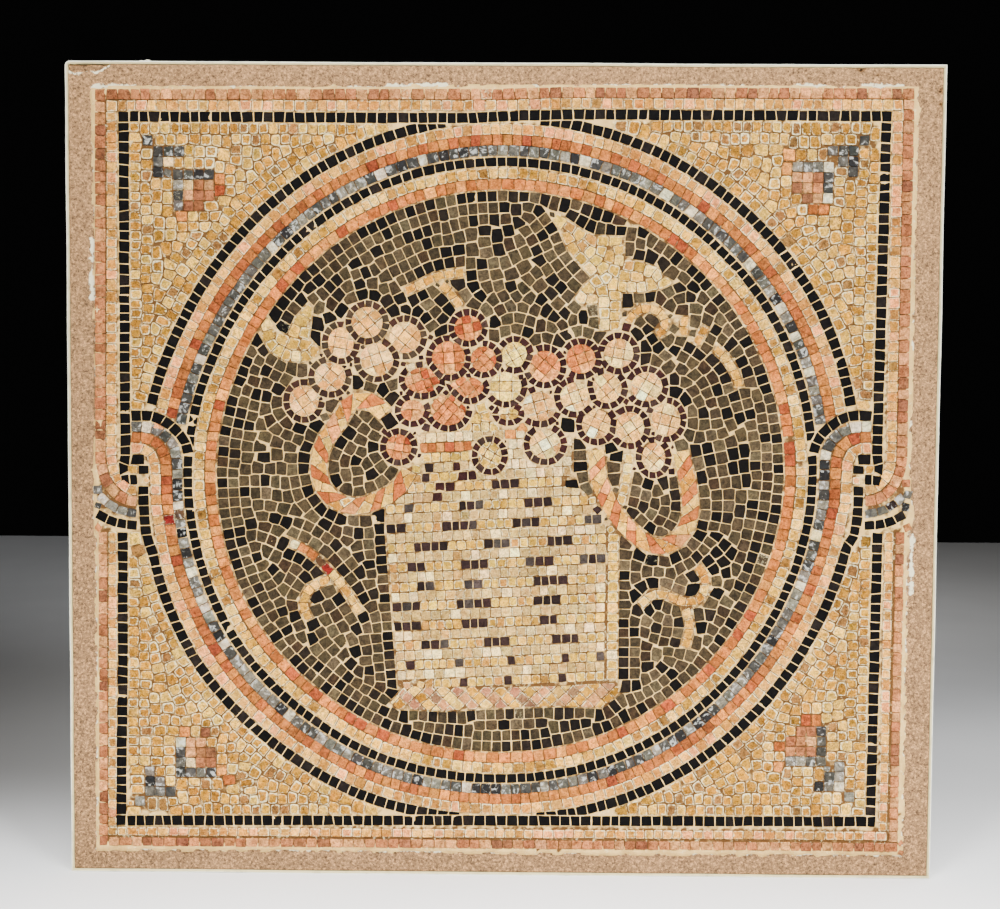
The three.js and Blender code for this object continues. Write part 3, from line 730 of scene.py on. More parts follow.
def lay_corners():
    for name, (right, up, steps, bracket) in CORNERS.items():
        dice = random.Random(name)
        lay(f"corner_steps_{name}", motif(STEP_CELLS, steps, right, up, "marble", dice))
        lay(f"corner_bracket_{name}", motif(BRACKET_CELLS, bracket, right, up, "marble", dice))
        lay(f"corner_block_{name}", motif(BLOCK_CELLS, bracket, right, up, "rose", dice))
        field = f"corner_field_{name}"
        stones = fill(front_segments(field), FIELD_PITCH, 2, lambda place, far: "ochre", dice, joint=1.2)
        lay(field, stones)


# --- fruits


class Fruit(NamedTuple):
    """An ellipse of stones: its middle, its half sizes, its kind and the turn of its stones in degrees."""

    right: float
    up: float
    half_width: float
    half_height: float
    kind: str
    turn: float

    @property
    def middle(self):
        return complex(self.right, self.up)

    def rim(self, margin=0.0, count=28):
        """Points round the fruit, a margin outside its outline."""
        turns = [2 * math.pi * i / count for i in range(count)]
        wide, high = self.half_width + margin, self.half_height + margin
        return [self.middle + complex(wide * math.cos(t), high * math.sin(t)) for t in turns]

    def reach(self, direction):
        """How far the outline is from the middle in a direction."""
        return 1 / math.hypot(direction.real / self.half_width, direction.imag / self.half_height)

    def holds(self, place, margin):
        """Whether a place is inside the outline, or a margin outside it at most."""
        away = place - self.middle
        return math.hypot(away.real / (self.half_width + margin), away.imag / (self.half_height + margin)) < 1


FRUITS = {
    "fruits_left": [
        (-140, 156, 16, 16, "pale fruit", 40), (-167, 135, 13, 16, "pale fruit", 80),
        (-130, 118, 17, 17, "pale fruit", 20), (-178, 100, 16, 15, "pale fruit", 50),
        (-205, 75, 15, 16, "pale fruit", 35), (-101, 141, 16, 16, "pale fruit", 50),
    ],
    "fruits_middle": [
        (-36, 151, 14, 13, "red fruit", 10), (-56, 120, 17, 17, "red fruit", 5),
        (-20, 119, 13, 13, "red fruit", 45), (-83, 97, 18, 13, "red fruit", 20),
        (-37, 90, 17, 11, "red fruit", 40), (-93, 66, 12, 11, "red fruit", 0),
        (-56, 67, 18, 16, "red fruit", 50), (12, 124, 13, 13, "yellow fruit", 30),
        (3, 91, 16, 15, "yellow fruit", 0), (6, 63, 11, 6, "pale ochre", 0),
        (43, 112, 16, 16, "red fruit", 50), (80, 120, 15, 15, "red fruit", 20),
    ],
    "fruits_right": [
        (119, 126, 15, 15, "cream fruit", 80), (107, 90, 15, 15, "cream fruit", 40),
        (148, 92, 16, 15, "cream fruit", 60), (75, 81, 16, 15, "cream fruit", 20),
        (38, 71, 17, 15, "cream fruit", 15), (97, 53, 15, 15, "cream fruit", 65),
        (131, 50, 15, 16, "cream fruit", 35), (168, 58, 15, 17, "cream fruit", 75),
        (44, 32, 16, 15, "cream fruit", 30), (156, 19, 12, 15, "cream fruit", 50),
    ],
    "fruit_hanging_left": [(-107, 28, 13, 13, "red fruit", 80)],
    "fruit_hanging_middle": [(-13, 20, 12, 14, "pale ochre", 60)],
}
FRUITS = {node: [Fruit(*row) for row in rows] for node, rows in FRUITS.items()}
ALL_FRUITS = [fruit for group in FRUITS.values() for fruit in group]
EDGING_WIDTH = 7.2
EDGING_PITCH = 8.3
# Edging stones of neighbouring fruits are this far apart at least.
EDGING_APART = 5.8
# Fruits that nearly touch are cut back from each other to leave this much room for the edging.
CORRIDOR = 6.8
# Only fruits whose middles are nearer than this can touch.
FRUIT_REACH = 60
FRUIT_PITCH = 10.4


def fruit_outline(fruit):
    """An ellipse, flattened where another fruit is too near for the edging between them."""
    outline = fruit.rim()
    for other in ALL_FRUITS:
        away = other.middle - fruit.middle
        if not 0 < abs(away) < FRUIT_REACH:
            continue
        direction = away / abs(away)
        reach = fruit.reach(direction)
        gap = abs(away) - reach - other.reach(direction)
        if gap < CORRIDOR:
            outline = clip(outline, fruit.middle + direction * (reach + (gap - CORRIDOR) / 2), -direction)
    return outline


def fruit_stones(fruit, outline, dice):
    """A patch of squares, three or so each way, cut round to the fruit."""
    along = cmath.rect(1, math.radians(fruit.turn))
    half = max(fruit.half_width, fruit.half_height) + 0.5
    across = max(2, round(2 * half / FRUIT_PITCH))
    steps = [-1 + 2 * i / across for i in range(across + 1)]
    columns, rows = (
        [step + (dice.gauss(0, 0.04) if abs(step) < 1 else 0) for step in steps] for _ in range(2)
    )
    stones = []
    for left, right in zip(columns, columns[1:]):
        for low, high in zip(rows, rows[1:]):
            corners = on_face([(left, low), (right, low), (right, high), (left, high)])
            centre = sum(corners) / 4
            shrunk = [centre + (corner - centre) * 0.92 for corner in corners]
            cell = [fruit.middle + along * half * corner for corner in nudged(shrunk, dice, 0.02)]
            for a, b in sides(outline):
                if len(cell) > 2 and abs(b - a) > 0.01:
                    cell = clip(cell, a, 1j * (b - a) / abs(b - a))
            if len(cell) > 2 and area(cell) > LEAST_IN_PATTERN:
                stones.append(Stone(cell, fruit.kind, dice))
    return stones


def edging_stones(fruit, outlines, kind, dice):
    """Dark stones round a fruit, cut back from its neighbours."""
    out = EDGING_WIDTH / 2 + 0.3
    middle = fruit.middle
    rim = [point + (point - middle) / abs(point - middle) * out for point in outlines[fruit]]
    others = [
        Edge([(b, a) for a, b in sides(outlines[other])], margin=0.3, spacing=1.5)
        for other in ALL_FRUITS
        if other is not fruit and abs(other.middle - middle) < FRUIT_REACH
    ]
    return course([*rim, rim[0]], kind, dice, EDGING_WIDTH, EDGING_PITCH, joint=1.1, skew=0.12), others


def lay_fruits():
    """The fruits and their dark edging, then the ochre stones between them."""
    dice = random.Random("fruits")
    outlines = {fruit: fruit_outline(fruit) for fruit in ALL_FRUITS}
    edging = []
    for node, group in FRUITS.items():
        dark = "edging left" if node == "fruits_left" else "edging"
        for fruit in group:
            lay(node, fruit_stones(fruit, outlines[fruit], dice))
        for fruit in group:
            stones, others = edging_stones(fruit, outlines, dark, dice)
            for stone in stones:
                clear = all(abs(stone.centre - other) > EDGING_APART for other in edging)
                if clear and not any(holds(outline, stone.centre) for outline in outlines.values()):
                    for kept in trimmed([stone], others, LEAST_IN_PATTERN):
                        edging.append(kept.centre)
                        lay(node, [kept])
    segments = front_segments("fruit_infill")
    lay("fruit_infill", fill(segments, 8.5, 1, lambda place, far: "pale ochre", dice))


def off_fruits(stones):
    """The stones whose middles lie outside every fruit and its edging."""
    return [
        stone for stone in stones if not any(fruit.holds(stone.centre, FRUIT_MARGIN) for fruit in ALL_FRUITS)
    ]


def fruit_edge():
    """The edge that other figures keep to round the fruits and their edging."""
    segments = []
    for fruit in ALL_FRUITS:
        segments += [(b, a) for a, b in sides(fruit.rim(FIGURE_MARGIN, 40))]
    within = FIGURE_MARGIN - 0.4
    return Edge([s for s in segments if not any(fruit.holds(s[0], within) for fruit in ALL_FRUITS)])


# --- basket and handles

WALL = on_face([
    (-120, -36), (-120, -60), (-107, -219.5), (107.5, -214), (108.5, -50), (93, -34), (88, -22),
    (80, -15), (62, -14), (62, -4), (72, -3), (72, 43), (-91, 43), (-85, 26), (-80, 7), (-92, 1),
    (-94, -12), (-106, -20),
])
COURSE_PITCH = 10.25
COURSE_CLIMB = 13 / 240
LOWEST_COURSE = -214.5
COURSES = 26
DASH_PITCH = 9.2
# The stones of the plain courses are longer by this, and each course is that much lower than the pitch.
PLAIN_LONGER = 0.6
COURSE_JOINT = 0.9
# A course this short, in half millimetres, is left out.
SHORTEST_COURSE = 20
# Middles and numbers of the dark dashes, in every other course from the lowest one up.
DASHES = [
    [(-94, 1), (-41, 1), (11, 1), (64, 1)],
    [(-91, 1), (-45, 1), (7, 1), (67, 1), (105, 1)],
    [(-67, 3), (-4, 3), (66, 3)],
    [(-103, 4), (-23, 3), (45, 2)],
    [(-97, 3), (-28, 4), (51, 3)],
    [(-80, 2), (-29, 3), (50, 3)],
    [(-88, 2), (-28, 3), (35, 3), (99, 3)],
    [(-74, 3), (-8, 3), (59, 3)],
    [(-111, 2), (-42, 4), (28, 3), (97, 3)],
    [(-96, 2), (-32, 3), (39, 3), (99, 2)],
    [(0, 3)],
]


def basket_kind(number):
    """The kinds of stone along a course: plain beige ones alternate with ochre ones that hold the dashes."""
    if number % 2:
        return lambda place: "beige"
    dashes = DASHES[number // 2] if number // 2 < len(DASHES) else []

    def kind(place):
        dark = any(abs(place.real - middle) < count * DASH_PITCH / 2 for middle, count in dashes)
        return "dash" if dark else "wall ochre"

    return kind


# The kinds of the courses above the dashes, at the left of the hanging fruit, from the lowest one up.
RIM_COURSES = ["wall ochre", "beige", "wall ochre", "pink", "white"]


# Right of this the courses above the dashes are beige and white.
RIM_SPLIT = -28


def rim_kind(number):
    """Above the dashes the courses change colour from one to the next."""
    left = RIM_COURSES[number - COURSES + len(RIM_COURSES)]
    right = "beige" if number % 2 else "white"
    return lambda place: left if place.real < RIM_SPLIT else right


FOOT = on_face([
    (-116, -240), (-107, -245), (-60, -246.5), (0, -243), (60, -240.5), (104, -242), (122, -228),
    (124, -216), (100, -217), (60, -220), (0, -221.5), (-100, -221.5),
])
BRAID_SIDE = 10.6
BRAID_MIDDLE = complex(0, -233)
# The stripes lean one way left of this and the other way right of it.
BRAID_TURN = 30


def foot_braid(dice):
    """Squares set on their corners, in slanting stripes of pink and yellow."""
    outline = anticlockwise(FOOT)
    rim = Edge(outline)
    diagonal = cmath.rect(BRAID_SIDE, math.pi / 4)
    stones = []
    for i in range(-16, 17):
        for j in range(-16, 17):
            middle = BRAID_MIDDLE + (i + 0.5) * diagonal + (j + 0.5) * diagonal * 1j
            place = np.array([middle])
            if not inside(place, outline)[0] and rim.distance(place)[0][0] > 6:
                continue
            corners = [middle + diagonal * corner * 0.465 for corner in SQUARE]
            stripe = i if middle.real < BRAID_TURN else j
            kind = "braid pink" if stripe % 2 else "braid yellow"
            stones.append(Stone(nudged(corners, dice, 0.4), kind, dice))
    return trimmed(stones, [Edge(outline, spacing=1.5)], LEAST_IN_FILL)


def lay_basket():
    """The wall in climbing courses, the column at its right and the braid at its foot."""
    dice = random.Random("basket")
    wall = anticlockwise(WALL)
    figures = [fruit_edge(), row_edge(LEFT_HANDLE, HANDLE_WIDTH), row_edge(RIGHT_HANDLE, HANDLE_WIDTH)]
    for number in range(COURSES):
        height = LOWEST_COURSE + number * COURSE_PITCH
        along = np.arange(-130, 120, 0.5)
        run = along[inside(along + 1j * (height + along * COURSE_CLIMB), wall)]
        if len(run) < SHORTEST_COURSE:
            continue
        ends = [complex(x, height + x * COURSE_CLIMB) for x in (run[0], run[-1])]
        rim = number >= COURSES - len(RIM_COURSES)
        kind = rim_kind(number) if rim else basket_kind(number)
        pitch = DASH_PITCH + (PLAIN_LONGER if number % 2 else 0)
        stones = course(ends, kind, dice, COURSE_PITCH - COURSE_JOINT, pitch)
        lay("basket_wall", off_fruits(trimmed(stones, figures)))
    column = on_face([(115.5, -60), (115.5, -212.5)])
    lay("basket_side_column", course(column, "wall ochre", dice, BAND_WIDTH, 10.4))
    lay("basket_foot", foot_braid(dice))


HANDLE_WIDTH = 17.0
LEFT_HANDLE = on_face([
    (-121, 62), (-132, 73), (-147, 77), (-160, 70), (-170, 53), (-181, 38), (-188, 22), (-190, 4),
    (-186, -13), (-176, -26), (-161, -33), (-144, -33), (-128, -27), (-113, -19), (-103, -9), (-96, 4),
])
RIGHT_HANDLE = on_face([
    (96, 27), (98, 10), (99, -3), (105, -17), (113, -33), (125, -49), (138, -61), (152, -71),
    (168, -73), (182, -66), (191, -53), (195, -37), (194, -20), (191, -3), (187, 12), (184, 26),
])
HANDLE_BRANCH = on_face([(131, 23), (129, 2), (126, -16), (122, -30)])


def lay_handles():
    """Two ropes of yellow and red strands, and the branch inside the right one."""
    dice = random.Random("handles")
    fruits = fruit_edge()
    kinds = ["yellow rope", "red rope"]
    for node, path, slant in (("handle_left", LEFT_HANDLE, 0.7), ("handle_right", RIGHT_HANDLE, -0.7)):
        stones = rope(path, HANDLE_WIDTH, dice, kinds, slant=slant)
        lay(node, off_fruits(trimmed(stones, [fruits], LEAST_IN_PATTERN)))
    branch = course(HANDLE_BRANCH, "pale ochre", dice, 9, 10)
    lay("handle_right", off_fruits(trimmed(branch, [fruits, row_edge(RIGHT_HANDLE, HANDLE_WIDTH)])))


# --- figures on the dark ground

# The strokes of each figure that is drawn with a single row of stones.
SCROLLS = {
    "twig": [
        [(-101, 188), (-86, 195), (-72, 202), (-57, 206), (-40, 208)],
        [(-64, 195), (-54, 187), (-44, 173)],
    ],
    "small_arch": [
        [(128, 158), (132, 166), (141, 172), (153, 173), (163, 167), (168, 157), (164, 149), (158, 145)],
    ],
    "dash_inner": [[(186, 164), (185, 145)]],
    "dash_outer": [[(208, 154), (198, 136)]],
    "curved_band": [[(218, 132), (227, 124), (234, 115), (240, 104), (243, 92)]],
    "left_hook": [
        [(-219, -72), (-205, -78), (-189, -90), (-172, -108), (-158, -126), (-147, -144)],
        [(-179, -110), (-186, -112), (-199, -119), (-206, -131), (-205, -142), (-200, -152)],
    ],
    "right_scroll": [
        [
            (203, -93), (211, -104), (212, -117), (206, -128), (194, -132), (181, -128), (168, -122),
            (155, -123), (144, -134),
        ],
        [(191, -138), (194, -145), (196, -158), (191, -178)],
    ],
}
# How common black stones are among the taupe ones, up to a distance from an edge and further inside.
BLACK_NEAR = 0.5
BLACK_INSIDE = 0.24
NEAR_EDGE = 8


def ground_kind(dice):
    """Taupe stones with black ones among them, more of them in the first course along an edge."""

    def kind(place, far):
        black = BLACK_NEAR if far < NEAR_EDGE else BLACK_INSIDE
        return "dark ground" if dice.random() < black else "taupe"

    return kind


def lay_figures():
    """The leaf, the bird and the scrolls, then the dark ground round them."""
    dice = random.Random("figures")
    for node in ("leaf", "bird"):
        lay(node, fill(front_segments(node), 10.4, 2, lambda place, far: "pale ochre", dice))
    for node, strokes in SCROLLS.items():
        for stroke in strokes:
            lay(node, course(on_face(stroke), "yellow rope", dice, 8.6, 10.2))
    for node in ("dark_ground", "dark_ground_in_handle"):
        stones = fill(front_segments(node), FILL_PITCH, 3, ground_kind(dice), dice, DARK_JOINT)
        lay(node, stones)


# Stones of another kind than their neighbours.
ACCENTS = [
    (-93, 113, "white"), (-336, -47, "brown"), (-333, -59, "black"), (-346, -53, "dark red"),
    (326, -56, "white"), (403, -31, "dash"), (-344, 319, "white"), (-323, 295, "beige"),
    (-295, 304, "pink"), (-293, 294, "pink"), (-328, 262, "pink"), (285, 314, "pink"), (286, 328, "pink"),
    (315, 274, "pink"), (327, 272, "pink"), (290, -285, "pink"), (291, -297, "pink"), (320, -253, "pink"),
    (333, -252, "pink"), (-324, -304, "white"), (-289, -310, "pink"), (-290, -322, "pink"),
    (-333, -268, "pink"), (-310, -273, "rose"), (-207, -78, "pink"), (-197, -84, "pink"),
    (-189, -91, "brown"), (-181, -99, "dark red"), (-217, -74, "white"), (-232, 155, "taupe"),
    (-222, 150, "dark ground"), (115.5, -188, "white"), (-94, 72, "red fruit"), (-64, 40, "white"),
    (5, 46, "orange"), (17, 47, "orange"), (-45, 12, "edging"), (-40, 3, "edging"), (-34, -3, "edging"),
    (-83, 1, "dash"), (-75, 1, "dash"), (-54, -9, "edging"), (-60, -14, "edging"), (-67, -18, "edging"),
]
# Spots where the lime stayed on thick, as (right, up, radius).
LIME_PATCHES = [
    (-301, 325, 12), (243, 345, 9), (304, 272, 9), (310, 248, 8), (102, 200, 7), (-335, 290, 9),
    (-227, 148, 7), (94, 166, 12), (-250, 62, 5), (-160, -30, 5), (18, -248, 6), (150, -85, 8),
    (-20, 392, 10), (-100, 392, 8), (270, -88, 6), (-420, -40, 6),
]


# A stone counts as the one meant if its middle is this near.
ACCENT_REACH = 9


def recolour():
    """Gives single stones their own kind, and some places a thick film of lime."""
    dice = random.Random("accents")
    everything = [stone for stones in laid.values() for stone in stones]
    middles = np.array([stone.centre for stone in everything])
    for x, z, kind in ACCENTS:
        away = np.abs(middles - complex(x, z))
        nearest = int(away.argmin())
        if away[nearest] < ACCENT_REACH:
            stone = everything[nearest]
            stone.kind = kind
            stone.colour = pick(kind, dice)
            stone.film = FILM[kind]
    for x, z, radius in LIME_PATCHES:
        away = np.abs(middles - complex(x, z))
        for i in np.nonzero(away < radius)[0]:
            everything[i].film += 0.55 * (1.2 - away[i] / radius)


# --- chips in the gaps that are left


def free_space(left, bottom, columns, rows):
    """Which millimetre squares of the mosaic lie clear of every stone."""
    free = np.ones((rows, columns), bool)
    for stone in [stone for stones in laid.values() for stone in stones]:
        across = [point.real - left for point in stone.outline]
        up = [point.imag - bottom for point in stone.outline]
        low_x, low_z = max(int(min(across)) - 1, 0), max(int(min(up)) - 1, 0)
        high_x, high_z = min(int(max(across)) + 3, columns), min(int(max(up)) + 3, rows)
        x = np.arange(low_x, high_x) + left + 0.5
        z = np.arange(low_z, high_z) + bottom + 0.5
        places = x[None, :] + 1j * z[:, None]
        covered = np.ones(places.shape, bool)
        for a, b in sides(stone.outline):
            side = np.conj(b - a) * (places - a)
            covered &= side.imag > -CHIP_JOINT * abs(b - a)
        free[low_z:high_z, low_x:high_x] &= ~covered
    return free


def eroded(free, times):
    """The squares whose neighbours, up to so many steps away, are all free."""
    for _ in range(times):
        inner = free.copy()
        inner[1:] &= free[:-1]
        inner[:-1] &= free[1:]
        inner[:, 1:] &= free[:, :-1]
        inner[:, :-1] &= free[:, 1:]
        free = inner
    return free


def block_disc(free, row, column, radius):
    """Marks the squares round one of them as taken."""
    reach = int(radius) + 2
    rows = np.arange(max(row - reach, 0), min(row + reach + 1, free.shape[0]))
    columns = np.arange(max(column - reach, 0), min(column + reach + 1, free.shape[1]))
    away = (rows[:, None] - row) ** 2 + (columns[None, :] - column) ** 2
    free[rows[0] : rows[-1] + 1, columns[0] : columns[-1] + 1] &= away > radius**2


# What the chips beside some kinds of stone are made of.
DARK_ROUND = {
    "edging": "edging", "edging left": "edging left", "pale fruit": "edging left", "red fruit": "edging",
    "cream fruit": "edging", "yellow fruit": "edging", "red rope": "taupe", "yellow rope": "taupe",
}


CHIP_JOINT = 0.7
# The part of the panel that can hold chips, in millimetres.
CHIPS_LEFT, CHIPS_BOTTOM, CHIPS_WIDTH, CHIPS_HEIGHT = -419, -393, 838, 788


def lay_chips():
    """Small stones in the gaps: dark ones round the fruits, elsewhere like whatever stone is nearest."""
    dice = random.Random("chips")
    free = free_space(CHIPS_LEFT, CHIPS_BOTTOM, CHIPS_WIDTH, CHIPS_HEIGHT)
    stones = [(node, stone) for node, group in laid.items() for stone in group]
    middles = np.array([stone.centre for _, stone in stones])
    for radius in (5, 4, 3, 2):
        for row, column in np.argwhere(eroded(free, radius)):
            if not free[max(row - 1, 0) : row + 2, max(column - 1, 0) : column + 2].all():
                continue
            place = complex(column + CHIPS_LEFT + 0.5, row + CHIPS_BOTTOM + 0.5)
            node, near = stones[int(np.abs(middles - place).argmin())]
            if near.kind == "black" or (radius == 2 and near.kind not in DARK_ROUND):
                continue
            kind = DARK_ROUND.get(near.kind, near.kind)
            half = cmath.rect(1, dice.uniform(0, 1.5)) * (radius + 0.3) * 1.1
            outline = [place + half * 1j**i for i in range(4)]
            lay(node, [Stone(nudged(outline, dice, 0.8), kind, dice)])
            block_disc(free, row, column, radius * 2 + 1)


# --- meshes


def add_to_scene(name, data):
    """A new object with a mesh, a light or a camera in it."""
    thing = bpy.data.objects.new(name, data)
    bpy.context.scene.collection.objects.link(thing)
    return thing


def add_piece(name, vertices, faces, material, slot, replaces=()):
    """A piece of the panel from points in millimetres as (right, depth forwards, up)."""
    points = np.array(vertices, float) * MM
    points[:, 1] *= -1
    mesh = bpy.data.meshes.new(name)
    mesh.from_pydata(points.tolist(), [], faces)
    mesh.materials.append(material)
    mesh.polygons.foreach_set("use_smooth", [True] * len(mesh.polygons))
    piece = add_to_scene(name, mesh)
    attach(piece, "root")
    if replaces:
        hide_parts(*replaces)
    return piece


def between_rings(base, rings, count, closed=False):
    """Faces between rings of points that follow one another, and back to the first ring if it's closed."""
    faces = []
    for ring in range(rings if closed else rings - 1):
        here = base + ring * count
        there = base + (ring + 1) % rings * count
        for i in range(count):
            after = (i + 1) % count
            faces.append((here + i, here + after, there + after, there + i))
    return faces


def flat_map(piece):
    """A map laid flat over the panel's face, for baking."""
    mesh = piece.data
    coordinates = np.empty(len(mesh.vertices) * 3)
    mesh.vertices.foreach_get("co", coordinates)
    coordinates = coordinates.reshape(-1, 3)
    corner = coordinates.min(0)
    size = np.ptp(coordinates, axis=0).max()
    spots = np.empty(len(mesh.loops), int)
    mesh.loops.foreach_get("vertex_index", spots)
    flat = (coordinates[spots][:, [0, 2]] - corner[[0, 2]]) / max(size, 1e-6)
    layer = mesh.uv_layers.new(name="OFBake")
    layer.data.foreach_set("uv", (flat * 0.98 + 0.01).ravel())


def rounded(outline, most, dice):
    """A stone's outline with its corners worn off by so much at most: three points for each corner."""
    points = []
    count = len(outline)
    for i in range(count):
        before, here, after = outline[i - 1], outline[i], outline[(i + 1) % count]
        wear = dice.uniform(0.5, 1.0) * most
        back = min(wear, abs(before - here) * 0.32)
        ahead = min(wear, abs(after - here) * 0.32)
        first = here + (before - here) / max(abs(before - here), 1e-6) * back
        last = here + (after - here) / max(abs(after - here), 1e-6) * ahead
        points += [first, (first + last) / 2 * 0.45 + here * 0.55, last]
    return points


# A stone from its foot to its worn top, as (inwards, below the top, lime clinging to it) at each level. Crisp
# stones have clean tops and little lime on their sides. Rimmed and soft ones have a pale rim of lime, and
# the soft ones slope more.
CRISP = [(0.0, 1.9, 1.0), (0.0, 0.7, 0.9), (0.2, 0.22, 0.4), (0.6, 0.04, 0.12), (2.2, -0.06, 0.0)]
RIMMED = [(0.0, 1.9, 0.3), (0.0, 0.6, 1.8), (0.3, 0.2, 2.1), (0.75, 0.03, 1.1), (2.2, -0.06, 0.0)]
SOFT = [(0.0, 1.9, 0.2), (0.0, 0.9, 0.9), (0.3, 0.3, 1.9), (0.9, 0.07, 1.0), (2.1, -0.06, 0.0)]
CRISP_KINDS = (
    "black", "dark ground", "taupe", "dash", "edging", "edging left", "marble",
    "rose", "orange", "pink", "red rope", "red fruit",
)
SOFT_KINDS = ("ochre", "pale ochre")
USUAL_WEAR = 1.4
# Standard deviations of how far the stones lean, as a slope, and stand out.
LEAN = 0.036
STAND = 0.16


def limited(value):
    return min(1.0, max(0.0, value))


def stone_mesh(stone, dice, vertices, faces, colours, films, chances):
    """Adds a stone's points and faces to the lists of its piece."""
    ring = rounded(stone.outline, WEAR.get(stone.kind, USUAL_WEAR), dice)
    middle = sum(ring) / len(ring)
    lean = cmath.rect(abs(dice.gauss(0, LEAN)), dice.uniform(0, 2 * math.pi))
    top = STONE_TOP + dice.gauss(0, STAND)
    levels = SOFT if stone.kind in SOFT_KINDS else CRISP if stone.kind in CRISP_KINDS else RIMMED
    base = len(vertices)
    count = len(ring)
    reach = math.sqrt(abs(area(stone.outline))) / 2
    for level, (shrink, drop, lime) in enumerate(levels):
        scale = 1 - min(shrink / reach, 0.72)
        for point in ring:
            place = middle + (point - middle) * scale
            rough = dice.gauss(0, 0.07) if level > 1 else 0
            height = top - drop + (dot(point - middle, lean) * scale if level else 0) + rough
            vertices.append((place.real, height, place.imag))
            films.append(limited(stone.film * 0.5 + lime * (0.14 + 0.75 * stone.film)))
    vertices.append((middle.real, top + dice.gauss(0.05, 0.1), middle.imag))
    films.append(limited(stone.film * 0.5))
    faces += between_rings(base, len(levels), count)
    last = base + (len(levels) - 1) * count
    faces += [(last + i, last + (i + 1) % count, last + count) for i in range(count)]
    added = len(vertices) - base
    colours += [rgba(stone.colour)] * added
    chances += [dice.random()] * added


def store(mesh, name, values):
    """Stores a number for each point of a mesh, which its material reads."""
    layer = mesh.attributes.new(name, "FLOAT", "POINT")
    layer.data.foreach_set("value", np.array(values, np.float32))


def paint(piece, colours, films, chances):
    """Stores each point's colour, lime and chance."""
    tint = piece.data.attributes.new("stone_colour", "FLOAT_COLOR", "POINT")
    tint.data.foreach_set("color", np.array(colours, np.float32).ravel())
    store(piece.data, "lime", films)
    store(piece.data, "chance", chances)


# --- materials


class Nodes:
    """Shorthand for building a material's node tree."""

    def __init__(self, name, shine):
        self.material = bpy.data.materials.new(name)
        self.material.use_nodes = True
        self.tree = self.material.node_tree
        self.shader = self.tree.nodes["Principled BSDF"]
        self.put(self.shader, "Specular IOR Level", shine)

    def put(self, node, key, value):
        """Joins an input to another node's output, or gives it a value of its own."""
        if isinstance(value, bpy.types.NodeSocket):
            self.tree.links.new(value, node.inputs[key])
        else:
            node.inputs[key].default_value = value

    def add(self, kind, inputs, **settings):
        node = self.tree.nodes.new(kind)
        for key, value in settings.items():
            setattr(node, key, value)
        for key, value in inputs.items():
            self.put(node, key, value)
        return node

    def attribute(self, name, output="Fac"):
        return self.add("ShaderNodeAttribute", {}, attribute_name=name).outputs[output]

    def noise(self, scale, detail=3.0, roughness=0.55, distortion=0.0, shift=None):
        """Noise on the piece's own metres, moved along by a shift so that each stone gets its own."""
        place = self.add("ShaderNodeTexCoord", {}).outputs["Object"]
        inputs = {"Vector": place, "Scale": scale, "Detail": detail, "Roughness": roughness}
        inputs["Distortion"] = distortion
        if shift is not None:
            inputs["W"] = shift
        return self.add("ShaderNodeTexNoise", inputs, noise_dimensions="4D").outputs["Fac"]

    def span(self, value, low, high, to_low, to_high):
        """A value taken from one range to another, smoothly."""
        ranges = {"From Min": low, "From Max": high, "To Min": to_low, "To Max": to_high}
        node = self.add("ShaderNodeMapRange", {"Value": value, **ranges}, interpolation_type="SMOOTHSTEP")
        return node.outputs["Result"]

    def mix(self, share, first, second, blend="MIX"):
        inputs = {0: share, 6: first, 7: second}
        return self.add("ShaderNodeMix", inputs, data_type="RGBA", blend_type=blend).outputs[2]

    def blot(self, colour, value, low, high, strength, other, blend="MIX"):
        """A colour with another one laid over it, more so as a value goes from low to high."""
        return self.mix(self.span(value, low, high, 0.0, strength), colour, other, blend)

    def maths(self, operation, first, second):
        return self.add("ShaderNodeMath", {0: first, 1: second}, operation=operation).outputs[0]

    def bump(self, height, distance, strength):
        node = self.add("ShaderNodeBump", {"Height": height, "Distance": distance, "Strength": strength})
        self.put(self.shader, "Normal", node.outputs["Normal"])

    def finish(self, colour, roughness):
        self.put(self.shader, "Base Color", colour)
        self.put(self.shader, "Roughness", roughness)
        return self.material


RUST = rgba((176, 112, 66))
PALE_VEIN = rgba((210, 211, 205))
DARK_VEIN = rgba((34, 38, 42))
PIT_SOIL = rgba((136, 100, 74))
# Light points in the stone, brighter than the stone itself.
GLINT = (1.45, 1.4, 1.3, 1.0)


